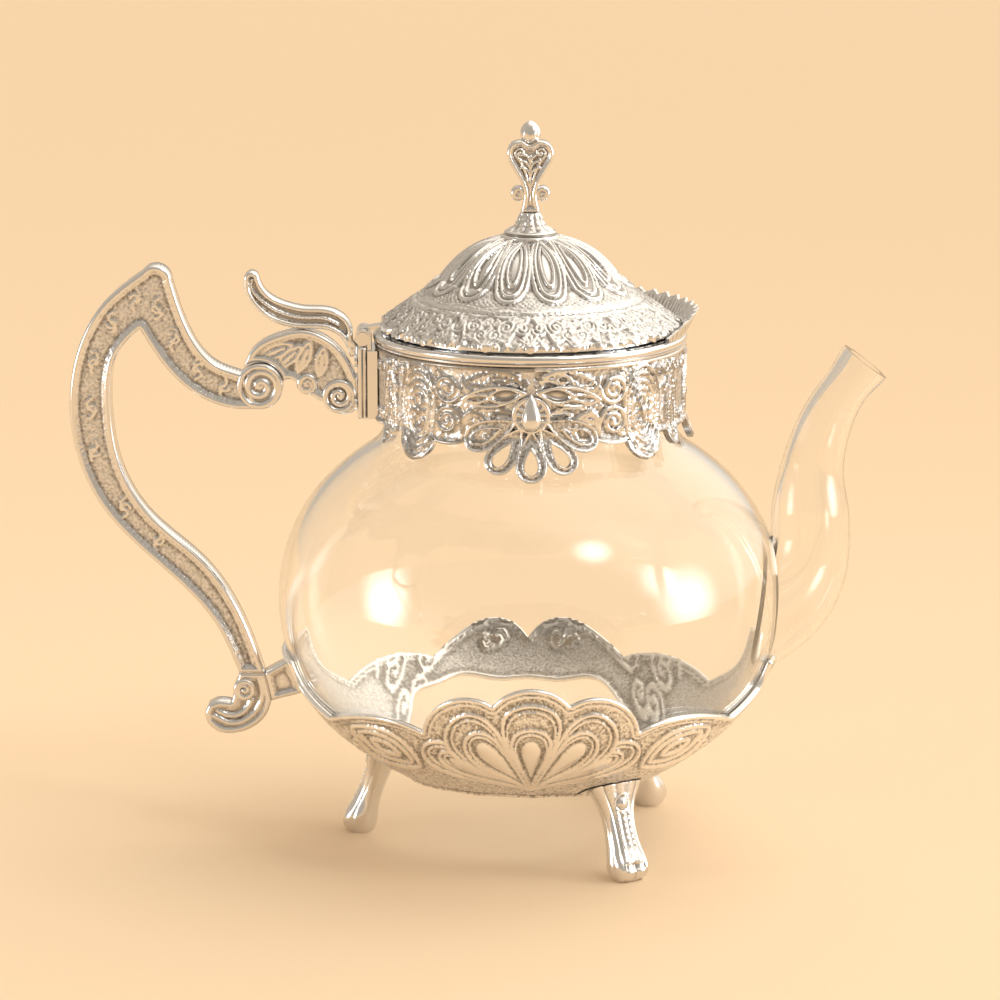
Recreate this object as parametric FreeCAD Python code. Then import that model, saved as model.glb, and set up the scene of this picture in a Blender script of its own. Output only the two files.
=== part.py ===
import FreeCAD, Part
import math
import os

V = FreeCAD.Vector
os.makedirs("parts", exist_ok=True)

# A glass teapot in silver mounts. Sizes are in millimetres and angles in degrees.
# It is drawn with the round body on the Z axis, the floor at Z = 0, the spout
# towards +X and the handle towards -X, and moved to the centre of its box at the end.

# Glass
GLOBE_RADIUS = 65.2
GLOBE_HALF_HEIGHT = 52.0
SIDE_ARC = 44.0
GLOBE_Z = 65.6
GLASS_WALL = 2.0
NECK_RADIUS = 37.0
NECK_FILLET = 10.0
NECK_HEIGHT = 20.3
SPOUT_WALL = 1.7
POUR_HOLE_RADIUS = 9.0
SPOUT_LIP = 0.95

# Collar
SLEEVE_THICKNESS = 1.4
BAND_WALL = 1.2
RIM_HEIGHT = 2.8
GALLERY_HEIGHT = 5.6
GALLERY_START = -30.0
GALLERY_END = 138.0
GALLERY_RUFFLES = 24
ROSETTE_WALL = 1.3

# Hinge and handle plates
PLATE_WIDTH = 14.0
HINGE_PLATE = 2.0
HANDLE_PLATE = 2.55
KNUCKLE_RADIUS = 2.0
LID_KNUCKLE_LENGTH = 4.8
SIDE_KNUCKLE_LENGTH = 3.3
PIN_RADIUS = 1.05
SCREW_RADIUS = 0.9

# Lid
DOME_RADIUS = 29.2
DOME_RISE = 15.0
DOME_WALL = 1.0
PETALS = 14
PETAL_RISE = 0.5
BRIM_RADIUS = 38.3
BRIM_DROP = 6.6
BRIM_WALL = 0.9
BRIM_RUFFLES = 40
BRIM_SWING = 0.4
BEZEL_DEPTH = 6.8
BEZEL_WALL = 0.9
FINIAL_SCREW_RADIUS = 1.2

# Handle
GRIP_THICKNESS = 7.4
GRIP_BORDER = 2.2
GRIP_RECESS = 0.7
SCROLL_THICKNESS = 5.6
TAIL_THICKNESS = 6.0
STRUT_THICKNESS = 6.6
STRUT_DROP = 23.6
REST_THICKNESS = 5.2

# Cradle and feet
CRADLE_WALL = 1.3
BOSS_RISE = 0.6
FOOT_RADIUS = 44.0
FOOT_ANGLES = (-57.0, 45.0, 171.0)
TOE_WIDTH = 12.0
SHIN_WIDTH = 9.0
KNEE_WIDTH = 17.0

# Clearances
SEAM = 0.05
CRADLE_GAP = 0.15
LIP_GAP = 0.3
LID_GAP = 0.35
BEZEL_GAP = 0.6
RIM_GAP = 0.4
RUN_GAP = 0.05
FIXED_GAP = 0.02
KNUCKLE_GAP = 0.3

# Turn of the round shells about Z, which keeps their seam line away from other edges
SEAM_TURN = 20.0


def edge(a, b):
    return Part.makeLine(V(a[0], 0, a[1]), V(b[0], 0, b[1]))


def arc(a, b, c):
    return Part.Arc(V(a[0], 0, a[1]), V(b[0], 0, b[1]), V(c[0], 0, c[1])).toShape()


def curve(points):
    spline = Part.BSplineCurve()
    spline.interpolate([V(x, 0, z) for x, z in points])
    return spline.toShape()


def outline(points):
    return Part.makePolygon([V(x, 0, z) for x, z in points + points[:1]])


def revolved(wire):
    return Part.Face(wire).revolve(V(0, 0, 0), V(0, 0, 1), 360)


def slab(wire, thickness):
    face = Part.Face(wire)
    face.translate(V(0, -thickness / 2, 0))
    return face.extrude(V(0, thickness, 0))


def disc(x, z, radius, thickness):
    return Part.makeCylinder(radius, thickness, V(x, -thickness / 2, z), V(0, 1, 0))


def turned(shape, angle):
    copy = shape.copy()
    copy.rotate(V(0, 0, 0), V(0, 0, 1), angle)
    return copy


def fused(shapes):
    whole = shapes[0].fuse(shapes[1:])
    return whole.removeSplitter()


def skin(faces):
    shell = Part.makeShell(faces)
    shell.sewShape()
    solid = Part.makeSolid(shell)
    if solid.Volume < 0:
        solid.reverse()
    return solid


# The globe is an oval of arcs: a side arc, and a wider cap arc above and below
side_x = GLOBE_RADIUS - SIDE_ARC
cap_shift = (side_x ** 2 - (GLOBE_HALF_HEIGHT - SIDE_ARC) ** 2) / (2 * (GLOBE_HALF_HEIGHT - SIDE_ARC))
cap_arc = GLOBE_HALF_HEIGHT + cap_shift
join_angle = math.atan2(cap_shift, side_x)


def cap_point(angle, grow, side):
    """A point on the lower (-1) or upper (1) cap arc, by its angle above level."""
    reach = cap_arc + grow
    return (reach * math.cos(angle), GLOBE_Z + side * (reach * math.sin(angle) - cap_shift))


def side_point(angle, grow):
    reach = SIDE_ARC + grow
    return (side_x + reach * math.cos(angle), GLOBE_Z + reach * math.sin(angle))


def cap(start, stop, grow, side):
    middle = (start + stop) / 2
    return arc(cap_point(start, grow, side), cap_point(middle, grow, side), cap_point(stop, grow, side))


def flank(start, stop, grow):
    return arc(side_point(start, grow), side_point((start + stop) / 2, grow), side_point(stop, grow))


def ball(grow):
    """The solid oval of the glass, larger by a given amount."""
    bottom = cap_point(math.pi / 2, grow, -1)
    top = cap_point(math.pi / 2, grow, 1)
    wire = Part.Wire([
        cap(math.pi / 2, join_angle, grow, -1),
        flank(-join_angle, join_angle, grow),
        cap(join_angle, math.pi / 2, grow, 1),
        edge((0, top[1]), (0, bottom[1])),
    ])
    return turned(revolved(wire), SEAM_TURN)


def glass_side(inset):
    """The globe's side up to the neck, its fillet and the height where the neck begins."""
    neck = NECK_RADIUS - inset
    fillet = NECK_FILLET + inset
    span = cap_arc - inset + fillet
    rise = math.sqrt(span ** 2 - (neck + fillet) ** 2)
    angle = math.atan2(rise, neck + fillet)
    base_z = GLOBE_Z - cap_shift + rise
    turn = (math.pi + math.pi + angle) / 2
    middle = (neck + fillet + fillet * math.cos(turn), base_z + fillet * math.sin(turn))
    bend = arc(cap_point(angle, -inset, 1), middle, (neck, base_z))
    edges = [
        cap(math.pi / 2, join_angle, -inset, -1),
        flank(-join_angle, join_angle, -inset),
        cap(join_angle, angle, -inset, 1),
        bend,
    ]
    return edges, base_z


# Heights and radii that several pieces share
neck_base = glass_side(0)[1]
neck_top = neck_base + NECK_HEIGHT
band_in = NECK_RADIUS + SLEEVE_THICKNESS
band_out = band_in + BAND_WALL
rim_out = band_out + 0.8
rim_top = neck_top + LIP_GAP + 1.0
band_top = rim_top - RIM_HEIGHT
hinge_x = -(rim_out + RIM_GAP + KNUCKLE_RADIUS)
hinge_z = rim_top - 1.2
hinge_plate_out = band_out + HINGE_PLATE
plate_in = hinge_plate_out + SEAM
plate_out = plate_in + HANDLE_PLATE
plate_low = neck_base - 0.4
plate_top = rim_top - 3.6
strut_z = GLOBE_Z - STRUT_DROP
cradle_in = CRADLE_GAP
cradle_out = CRADLE_GAP + CRADLE_WALL

pieces = {}

# Glass body: oval globe, concave shoulder, upright neck with a rounded lip
outer_edges, outer_z = glass_side(0)
inner_edges, inner_z = glass_side(GLASS_WALL)
neck_in = NECK_RADIUS - GLASS_WALL
lip_z = neck_top - GLASS_WALL / 2
glass_edges = outer_edges + inner_edges + [
    edge((NECK_RADIUS, outer_z), (NECK_RADIUS, lip_z)),
    arc((NECK_RADIUS, lip_z), (NECK_RADIUS - GLASS_WALL / 2, neck_top), (neck_in, lip_z)),
    edge((neck_in, lip_z), (neck_in, inner_z)),
    edge((0, GLOBE_Z - GLOBE_HALF_HEIGHT + GLASS_WALL), (0, GLOBE_Z - GLOBE_HALF_HEIGHT)),
]
glass = turned(revolved(Part.Wire(Part.__sortEdges__(glass_edges))), SEAM_TURN)

# Spout: round sections square to a path that leaves the globe sideways and turns up.
# Each is distance beyond the globe, height above its middle and radius.
spout_path = [
    (-15.2, -7.6, 15.5),
    (-5.2, -4.1, 14.2),
    (1.8, 0.9, 12.6),
    (6.1, 7.9, 11.2),
    (7.4, 15.4, 10.3),
    (7.3, 23.4, 9.9),
    (7.5, 31.4, 8.5),
    (9.0, 39.4, 7.5),
    (11.8, 47.4, 6.7),
    (15.8, 54.4, 6.0),
    (20.6, 60.9, 6.0),
]
TIP = len(spout_path) - 1


def spout_way(number):
    """The direction of the path at one of its sections."""
    before = spout_path[max(number - 1, 0)]
    after = spout_path[min(number + 1, TIP)]
    return V(after[0] - before[0], 0, after[1] - before[1]).normalize()


def spout_place(number):
    out, rise, radius = spout_path[number]
    return V(GLOBE_RADIUS + out, 0, GLOBE_Z + rise)


def spout_ring(number, grow, ahead):
    way = spout_way(number)
    radius = spout_path[number][2] + grow
    across = V(0, radius, 0)
    above = V(-way.z, 0, way.x) * radius
    place = spout_place(number) + way * ahead
    return Part.Wire([
        Part.Arc(place + across, place + above, place - across).toShape(),
        Part.Arc(place - across, place - above, place + across).toShape(),
    ])


def spout_loft(grow, extra):
    rings = [spout_ring(number, grow, 0) for number in range(TIP + 1)]
    if extra:
        rings.append(spout_ring(TIP, grow, extra))
    return Part.makeLoft(rings, True, False)


lip = Part.makeTorus(
    spout_path[TIP][2] - SPOUT_WALL / 2, SPOUT_LIP, spout_place(TIP), spout_way(TIP))
spout = spout_loft(0, 0).cut(ball(SEAM)).cut(spout_loft(-SPOUT_WALL, 3.0)).fuse(lip)
pieces["glass_spout"] = spout.removeSplitter()
pour_hole = Part.makeCylinder(
    POUR_HOLE_RADIUS, 26, spout_place(1) - spout_way(1) * 13, spout_way(1))
pieces["glass_body"] = glass.cut(pour_hole)

# Sleeve between the glass neck and the collar
sleeve_low = neck_base + 2.5
pieces["neck_sleeve"] = revolved(outline([
    (NECK_RADIUS + SEAM, sleeve_low),
    (band_in - SEAM, sleeve_low),
    (band_in - SEAM, band_top - 1.5),
    (NECK_RADIUS + SEAM, band_top - 1.5),
]))

# Collar band: upright wall with scroll discs, and pendants splayed over the shoulder
band_low = neck_base - 0.6
splay_low = neck_base - 0.65 * NECK_FILLET
splay_in = NECK_RADIUS + 0.24 * NECK_FILLET + 1.3
wall = revolved(outline([
    (band_in, band_low),
    (band_out, band_low),
    (band_out, band_top),
    (band_in, band_top),
]))
skirt = revolved(outline([
    (band_in, neck_base + 2.0),
    (band_in, neck_base + 0.6),
    (splay_in, splay_low),
    (splay_in + BAND_WALL, splay_low),
    (band_out, neck_base + 0.6),
    (band_out, neck_base + 2.0),
]))
relief = revolved(outline([
    (band_in + 0.2, band_low),
    (band_out + 0.6, band_low),
    (band_out + 0.6, band_top),
    (band_in + 0.2, band_top),
]))


def pendant(half, low):
    tip_z = low + half
    wire = Part.Wire([
        edge((-half * 0.8, neck_base + 1.8), (half * 0.8, neck_base + 1.8)),
        edge((half * 0.8, neck_base + 1.8), (half, tip_z)),
        arc((half, tip_z), (0, low), (-half, tip_z)),
        edge((-half, tip_z), (-half * 0.8, neck_base + 1.8)),
    ])
    face = Part.Face(wire)
    return face.extrude(V(0, -80, 0)).common(skirt)


big = pendant(4.4, splay_low + 0.1)
small = pendant(2.6, splay_low + 2.0)
collar = [wall]
for angle in (-135, -45, 45, 90, 135):
    collar.append(turned(big, angle))
for angle in (-117, -63, 63, 117):
    collar.append(turned(small, angle))
for angle in (-31.5, 31.5, 148.5, 211.5):
    for rise in (4.4, 12.6):
        bead = Part.makeCylinder(3.9, 80, V(0, 0, neck_base + rise), V(0, -1, 0))
        collar.append(turned(bead.common(relief), angle))
pieces["collar_band"] = fused(collar)

# Rim moulding over the glass lip
pieces["collar_rim"] = revolved(Part.Wire([
    edge((NECK_RADIUS - 0.8, rim_top - 1.0), (band_in, rim_top - 1.0)),
    edge((band_in, rim_top - 1.0), (band_in, band_top + SEAM)),
    edge((band_in, band_top + SEAM), (band_out, band_top + SEAM)),
    arc((band_out, band_top + SEAM), (rim_out, rim_top - 1.4), (band_out, rim_top)),
    edge((band_out, rim_top), (NECK_RADIUS - 0.8, rim_top)),
    edge((NECK_RADIUS - 0.8, rim_top), (NECK_RADIUS - 0.8, rim_top - 1.0)),
]))


def gallery_edge(radius, lift, wave):
    points = []
    steps = GALLERY_RUFFLES * 4
    for step in range(steps + 1):
        part = step / steps
        angle = math.radians(GALLERY_START + (GALLERY_END - GALLERY_START) * part)
        taper = math.sin(math.pi * min(part, 1 - part, 0.15) / 0.3)
        swing = math.cos(2 * math.pi * GALLERY_RUFFLES * part)
        reach = radius + wave * taper * (2.7 + 0.45 * swing)
        height = rim_top + SEAM + lift + wave * taper * (GALLERY_HEIGHT - 1.0 + 0.4 * swing)
        points.append(V(reach * math.cos(angle), reach * math.sin(angle), height))
    spline = Part.BSplineCurve()
    spline.interpolate(points)
    return spline.toShape()


# Ruffled gallery: an upright flaring frill round the back of the rim
inner_foot = gallery_edge(band_out - 0.2, 0, 0)
outer_foot = gallery_edge(band_out + 0.5, 0, 0)
inner_frill = gallery_edge(band_out - 0.2, 1.0, 1)
outer_frill = gallery_edge(band_out + 0.5, 1.0, 1)
frill_faces = [
    Part.makeRuledSurface(inner_foot, inner_frill),
    Part.makeRuledSurface(inner_frill, outer_frill),
    Part.makeRuledSurface(outer_frill, outer_foot),
    Part.makeRuledSurface(outer_foot, inner_foot),
]
for end in (0, -1):
    corners = []
    for side in (inner_foot, inner_frill, outer_frill, outer_foot):
        corners.append(side.Vertexes[end].Point)
    frill_faces.append(Part.Face(Part.makePolygon(corners + corners[:1])))
pieces["collar_gallery"] = skin(frill_faces)

# Rosettes on the front and back of the collar: a hub, two leaves and a fan of open loops
rosette_low = neck_base - 0.9 * NECK_FILLET
rosette_in = NECK_RADIUS + 0.564 * NECK_FILLET + 0.6
rosette_skin = revolved(outline([
    (band_out + SEAM, neck_base + 15.5),
    (band_out + SEAM, neck_base + 1.0),
    (rosette_in, rosette_low),
    (rosette_in + ROSETTE_WALL, rosette_low),
    (band_out + SEAM + ROSETTE_WALL, neck_base + 1.0),
    (band_out + SEAM + ROSETTE_WALL, neck_base + 15.5),
]))


def drop(start, stop, half, angle):
    """A teardrop pointing away from the hub, as a wire in the front plane."""
    middle = stop - half
    wire = Part.Wire([
        edge((start, 0), (middle, half)),
        arc((middle, half), (stop, 0), (middle, -half)),
        edge((middle, -half), (start, 0)),
    ])
    wire.rotate(V(0, 0, 0), V(0, 1, 0), -angle)
    wire.translate(V(0, 0, neck_base + 7.0))
    return Part.Face(wire).extrude(V(0, -80, 0))


fan = [Part.makeCylinder(4.6, 80, V(0, 0, neck_base + 8.0), V(0, -1, 0))]
for angle, stop in ((-90, 15.4), (-52, 15.4), (-128, 15.4), (-20, 16.2), (-160, 16.2)):
    fan.append(drop(1.0, stop, 2.9, angle).cut(drop(6.4, stop - 1.2, 1.7, angle)))
for angle in (24, 156):
    fan.append(drop(0.5, 14.5, 2.8, angle))
rosette = fused(fan).common(rosette_skin)
pieces["collar_rosettes"] = Part.makeCompound([rosette, turned(rosette, 180)])

# Hinge plate on the collar, with two knuckles above it
hinge_plate = Part.makeBox(
    6, PLATE_WIDTH, plate_top - 0.8 - plate_low,
    V(-hinge_plate_out, -PLATE_WIDTH / 2, plate_low))
hinge_plate = hinge_plate.cut(Part.makeCylinder(band_out + SEAM, 60, V(0, 0, plate_low - 5)))
knuckle_start = LID_KNUCKLE_LENGTH / 2 + KNUCKLE_GAP
knuckle_end = knuckle_start + SIDE_KNUCKLE_LENGTH
ears = [hinge_plate]
for side in (-1, 1):
    low_y = knuckle_start if side > 0 else -knuckle_end
    ears.append(Part.makeBox(
        hinge_plate_out - rim_out - 0.3, SIDE_KNUCKLE_LENGTH, hinge_z - plate_top + 2.0,
        V(-hinge_plate_out, low_y, plate_top - 2.0)))
    ears.append(Part.makeCylinder(
        KNUCKLE_RADIUS, SIDE_KNUCKLE_LENGTH, V(hinge_x, low_y, hinge_z), V(0, 1, 0)))
hinge_plate = fused(ears)
hinge_bore = disc(hinge_x, hinge_z, PIN_RADIUS + FIXED_GAP, 40)
hinge_plate = hinge_plate.cut(hinge_bore)

# Handle plate against the hinge plate, held by four screws
handle_plate = Part.makeBox(
    HANDLE_PLATE, PLATE_WIDTH, plate_top - plate_low, V(-plate_out, -PLATE_WIDTH / 2, plate_low))
uprights = [side for side in handle_plate.Edges if abs(side.tangentAt(side.FirstParameter).x) > 0.9]
handle_plate = handle_plate.makeFillet(1.6, uprights)
screws = []
for y in (-4.8, 4.8):
    for z in (plate_low + 3.6, plate_top - 3.6):
        shank_end = band_out + 0.5
        hole = Part.makeCylinder(SCREW_RADIUS + FIXED_GAP, 20, V(-plate_out - 5, y, z), V(1, 0, 0))
        shank = Part.makeCylinder(SCREW_RADIUS, plate_out - shank_end, V(-plate_out, y, z), V(1, 0, 0))
        head = Part.makeCylinder(1.6, 0.7, V(-plate_out - 0.7 - SEAM, y, z), V(1, 0, 0))
        neck = Part.makeCylinder(SCREW_RADIUS, 1.0, V(-plate_out - 0.5, y, z), V(1, 0, 0))
        slot = Part.makeBox(0.35, 4, 0.5, V(-plate_out - 0.7 - SEAM, y - 2, z - 0.25))
        screws.append(head.fuse([neck, shank]).removeSplitter().cut(slot))
        handle_plate = handle_plate.cut(hole)
        hinge_plate = hinge_plate.cut(hole)
pieces["hinge_plate"] = hinge_plate
pieces["handle_plate"] = handle_plate
pieces["plate_screws"] = Part.makeCompound(screws)

# Hinge pin with two round heads
pin_length = 2 * (knuckle_end + SEAM)
pin = disc(hinge_x, hinge_z, PIN_RADIUS, pin_length + 1.0)
for side in (-1, 1):
    face_y = side * pin_length / 2
    pin = pin.fuse(Part.makeCylinder(1.6, 0.7, V(hinge_x, face_y, hinge_z), V(0, side, 0)))
pieces["hinge_pin"] = pin.removeSplitter()


def up(out, rise):
    """A point of the upper handle, from the handle plate and the top of the rim."""
    return (-(plate_out + out), rim_top + rise)


def low(out, rise):
    """A point of the lower handle, from the handle plate and the strut."""
    return (-(plate_out + out), strut_z + rise)


def inset(side, distance):
    """A curve running beside an outline curve, on its right-hand side seen from the front."""
    points = []
    for step in range(13):
        part = side.FirstParameter + (side.LastParameter - side.FirstParameter) * step / 12
        way = side.tangentAt(part)
        spot = side.valueAt(part) + V(way.z, 0, -way.x) * distance
        points.append((spot.x, spot.z))
    return curve(points)


def joined(curves):
    """Curves end to end, with straight edges across the gaps between them."""
    edges = []
    for number, side in enumerate(curves):
        start = side.valueAt(side.LastParameter)
        after = curves[(number + 1) % len(curves)]
        stop = after.valueAt(after.FirstParameter)
        edges.append(side)
        if start.distanceToPoint(stop) > 0.01:
            edges.append(Part.makeLine(start, stop))
    return Part.Wire(edges)


# Handle grip: a flat strap with a peaked top, raised borders and a rolled upper end
arm_top = curve([up(29.3, -11.0), up(36.8, -8.0), up(43.8, 1.9), up(47.4, 12.9)])
peak = arc(up(47.4, 12.9), up(50.4, 16.9), up(55.0, 15.4))
grip_back = curve([
    up(55.0, 15.4), up(65.3, 6.9), up(72.6, -7.6), up(73.9, -23.6),
    low(67.0, 48.6), low(50.8, 31.2), low(37.5, 16.6), low(31.4, 3.2)])
grip_front = curve([
    low(24.8, 3.2), low(29.6, 16.6), low(40.3, 33.3), low(54.1, 45.9),
    up(61.5, -33.6), up(63.5, -18.6), up(61.4, -5.6), up(55.7, 0.7)])
arm_under = curve([up(55.7, 0.7), up(49.8, -8.6), up(41.8, -16.2), up(31.8, -20.0), up(25.1, -20.1)])
grip_sides = [arm_top, peak, grip_back, grip_front, arm_under]
grip_wire = joined(grip_sides)
panel_wire = joined([inset(side, -GRIP_BORDER) for side in grip_sides])
roll_x, roll_z = up(25.1, -14.2)
grip = slab(grip_wire, GRIP_THICKNESS)
for side in (-1, 1):
    panel = Part.Face(panel_wire)
    panel.translate(V(0, side * (GRIP_THICKNESS / 2 - GRIP_RECESS), 0))
    grip = grip.cut(panel.extrude(V(0, side * 5, 0)))
roll = disc(roll_x, roll_z, 5.9, GRIP_THICKNESS + 0.8)
pieces["handle_grip"] = fused([grip, roll])

# Scroll between the grip and the handle plate, with two small volutes below
scroll_wire = Part.Wire([
    curve([
        up(29.6, -12.0), up(27.9, -5.5), up(19.5, -0.6), up(14.5, 0.3),
        up(8.5, -1.4), up(3.0, -6.6), up(0.6, -11.6)]),
    edge(up(0.6, -11.6), up(SEAM, -11.6)),
    edge(up(SEAM, -11.6), up(SEAM, -20.1)),
    arc(up(SEAM, -20.1), up(4.6, -21.6), up(9.0, -18.5)),
    arc(up(9.0, -18.5), up(12.5, -16.4), up(15.6, -13.7)),
    curve([up(15.6, -13.7), up(19.0, -12.3), up(22.0, -13.0)]),
    edge(up(22.0, -13.0), up(29.6, -12.0)),
])
scroll = slab(scroll_wire, SCROLL_THICKNESS)
for out, rise, radius in ((13.0, -13.7, 2.7), (4.8, -16.9, 4.4)):
    volute_x, volute_z = up(out, rise)
    scroll = scroll.fuse(disc(volute_x, volute_z, radius, SCROLL_THICKNESS + 1.0))
scroll = scroll.removeSplitter().cut(slab(grip_wire, 30))
scroll = scroll.cut(disc(roll_x, roll_z, 5.9 + SEAM, 40))
pieces["handle_scroll"] = max(scroll.Solids, key=lambda solid: solid.Volume)

# Tail leaf below the grip, with its volute
tail_wire = Part.Wire([
    edge(low(31.4, 3.15), low(24.8, 3.15)),
    edge(low(24.8, 3.15), low(23.0, -4.2)),
    curve([
        low(23.0, -4.2), low(24.3, -7.8), low(27.3, -11.0), low(32.0, -13.0),
        low(37.9, -12.2), low(40.5, -8.1), low(39.5, -5.5)]),
    curve([low(39.5, -5.5), low(37.1, -4.5), low(33.6, -4.8)]),
    edge(low(33.6, -4.8), low(31.4, 3.15)),
])
volute_x, volute_z = low(30.1, -1.3)
pieces["handle_tail"] = fused([
    slab(tail_wire, TAIL_THICKNESS), disc(volute_x, volute_z, 2.9, TAIL_THICKNESS + 2.0)])

# Strut from the tail to the cradle
strut = slab(
    outline([low(24.8 - SEAM, 3.15), low(8.0, 8.3), low(8.0, -1.0), low(23.0 - SEAM, -4.2)]),
    STRUT_THICKNESS)
pieces["handle_strut"] = strut.cut(ball(cradle_out + SEAM))

# Thumb rest lying along the top of the scroll, its foot against the handle plate
rest_wire = Part.Wire([
    curve([
        up(26.9, 15.1), up(29.2, 12.4), up(27.0, 6.6), up(23.1, 3.3),
        up(18.8, 1.4), up(14.2, 0.6), up(8.4, 0.4), up(4.4, -1.6), up(2.4, -4.8)]),
    edge(up(2.4, -4.8), up(2.0, -6.6)),
    edge(up(2.0, -6.6), up(SEAM, -6.6)),
    edge(up(SEAM, -6.6), up(SEAM, -3.6)),
    edge(up(SEAM, -3.6), up(1.3, -2.4)),
    edge(up(1.3, -2.4), up(1.3, 0.4)),
    curve([
        up(1.3, 0.4), up(2.4, 2.8), up(4.8, 4.9), up(8.3, 6.0), up(13.4, 6.2),
        up(17.0, 6.9), up(20.9, 8.4), up(24.1, 11.2), up(25.1, 13.8)]),
    arc(up(25.1, 13.8), up(26.1, 15.0), up(26.9, 15.1)),
])
pieces["thumb_rest"] = slab(rest_wire, REST_THICKNESS)

# Cradle: an oval shell cut to lobes in front, lower lobes behind and a wing at each side
bowl = ball(cradle_out).cut(ball(cradle_in))


def below(x, drop_z):
    return (x, GLOBE_Z - drop_z)


def half_lobes(side):
    """Edges of one side of the front edge, from the centre lobe out to the wing."""
    return [
        arc(below(9.6 * side, 13.6), below(17.2 * side, 11.8), below(27.0 * side, 22.8)),
        arc(below(27.0 * side, 22.8), below(40.0 * side, 20.4), below(51.5 * side, 25.8)),
        curve([below(51.5 * side, 25.8), below(58.5 * side, 21.0), below(62.0 * side, 13.8)]),
        edge(below(62.0 * side, 13.8), below(90 * side, 13.8)),
        edge(below(90 * side, 13.8), below(90 * side, 90)),
    ]


def half_back(side):
    """Edges of one side of the back edge, from the centre dip out to the wing."""
    return [
        curve([
            below(0, 27.4), below(4.0 * side, 23.8), below(10.5 * side, 21.5),
            below(19.0 * side, 26.4), below(27.0 * side, 30.2)]),
        arc(below(27.0 * side, 30.2), below(38.0 * side, 28.0), below(50.4 * side, 30.8)),
        curve([below(50.4 * side, 30.8), below(58.3 * side, 23.6), below(62.0 * side, 13.8)]),
        edge(below(62.0 * side, 13.8), below(90 * side, 13.8)),
        edge(below(90 * side, 13.8), below(90 * side, 90)),
    ]


front_edges = [arc(below(-9.6, 13.6), below(0, 8.8), below(9.6, 13.6))]
front_edges += half_lobes(1) + half_lobes(-1) + [edge(below(-90, 90), below(90, 90))]
back_edges = half_back(1) + half_back(-1) + [edge(below(-90, 90), below(90, 90))]
front_keep = Part.Face(Part.Wire(Part.__sortEdges__(front_edges))).extrude(V(0, -90, 0))
back_keep = Part.Face(Part.Wire(Part.__sortEdges__(back_edges))).extrude(V(0, 90, 0))
cradle = fused([bowl.common(front_keep), bowl.common(back_keep)])
boss_skin = ball(cradle_out + BOSS_RISE).cut(ball(cradle_out - 0.3))


def boss(x, top, bottom, half, lean):
    """A raised teardrop on the front of the cradle, round end up."""
    wire = Part.Wire([
        edge((0, -bottom), (half, -top - half)),
        arc((half, -top - half), (0, -top), (-half, -top - half)),
        edge((-half, -top - half), (0, -bottom)),
    ])
    wire.rotate(V(0, 0, -bottom), V(0, 1, 0), lean)
    wire.translate(V(x, 0, GLOBE_Z))
    return Part.Face(wire).extrude(V(0, -90, 0)).common(boss_skin)


bosses = [boss(0, 16.0, 36.0, 3.6, 0)]
for side in (-1, 1):
    bosses.append(boss(2.6 * side, 16.0, 37.5, 3.2, 32 * side))
    bosses.append(boss(4.6 * side, 17.5, 39.5, 2.8, 57 * side))
cradle = fused([cradle] + bosses)
window = Part.BSplineCurve()
window_points = [
    (0, -36.5), (15, -32), (25, -21), (31, -4), (30, 14), (27, 28), (21, 43),
    (0, 48), (-21, 45), (-31, 35), (-33, 18), (-32, -4), (-27, -22), (-15, -33)]
window.interpolate(Points=[V(x, y, 0) for x, y in window_points], PeriodicFlag=True)
window_tool = Part.Face(Part.Wire(window.toShape())).extrude(V(0, 0, GLOBE_Z))
cradle = cradle.cut(window_tool).cut(spout_loft(0.5, 0))
pieces["cradle"] = cradle

# Feet: a knee under the cradle, a slim shin and a rounded toe
knee_z = GLOBE_Z - (GLOBE_HALF_HEIGHT + cradle_out) * math.sqrt(
    1 - (FOOT_RADIUS / (GLOBE_RADIUS + cradle_out)) ** 2)
foot_levels = [
    (0.0, 0.6, TOE_WIDTH * 0.92, TOE_WIDTH * 0.84),
    (0.08, 1.0, TOE_WIDTH * 1.08, TOE_WIDTH),
    (0.2, 1.0, TOE_WIDTH * 1.02, TOE_WIDTH * 0.96),
    (0.36, -0.6, SHIN_WIDTH * 1.0, SHIN_WIDTH * 0.95),
    (0.56, -1.4, SHIN_WIDTH * 0.94, SHIN_WIDTH),
    (0.78, -0.4, SHIN_WIDTH * 1.25, SHIN_WIDTH * 1.4),
    (1.0, 1.4, KNEE_WIDTH * 0.78, KNEE_WIDTH),
    (1.26, 3.4, KNEE_WIDTH * 0.52, KNEE_WIDTH * 0.84),
]
rings = []
for level, shift, deep, wide in foot_levels:
    place = V(FOOT_RADIUS + shift, 0, level * knee_z)
    points = []
    for step in range(24):
        turn = 2 * math.pi * step / 24
        points.append(place + V(deep / 2 * math.cos(turn), wide / 2 * math.sin(turn), 0))
    loop = Part.BSplineCurve()
    loop.interpolate(Points=points, PeriodicFlag=True)
    rings.append(Part.Wire(loop.toShape()))
foot = Part.makeLoft(rings, True, False).cut(ball(cradle_out + SEAM))
foot = max(foot.Solids, key=lambda solid: solid.Volume)
for name, angle in zip(("foot_front", "foot_back", "foot_left"), FOOT_ANGLES):
    pieces[name] = turned(foot, angle)

# Lid brim: a flat seat for the dome and a sloping skirt with a ruffled edge, notched for the hinge leaf
brim_top = rim_top + LID_GAP + BRIM_WALL + BRIM_SWING + 0.3 + BRIM_DROP
slope = BRIM_DROP / (BRIM_RADIUS - DOME_RADIUS)
brim_in = DOME_RADIUS - 2.4


def brim_height(radius):
    return brim_top - (radius - DOME_RADIUS) * slope


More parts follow.
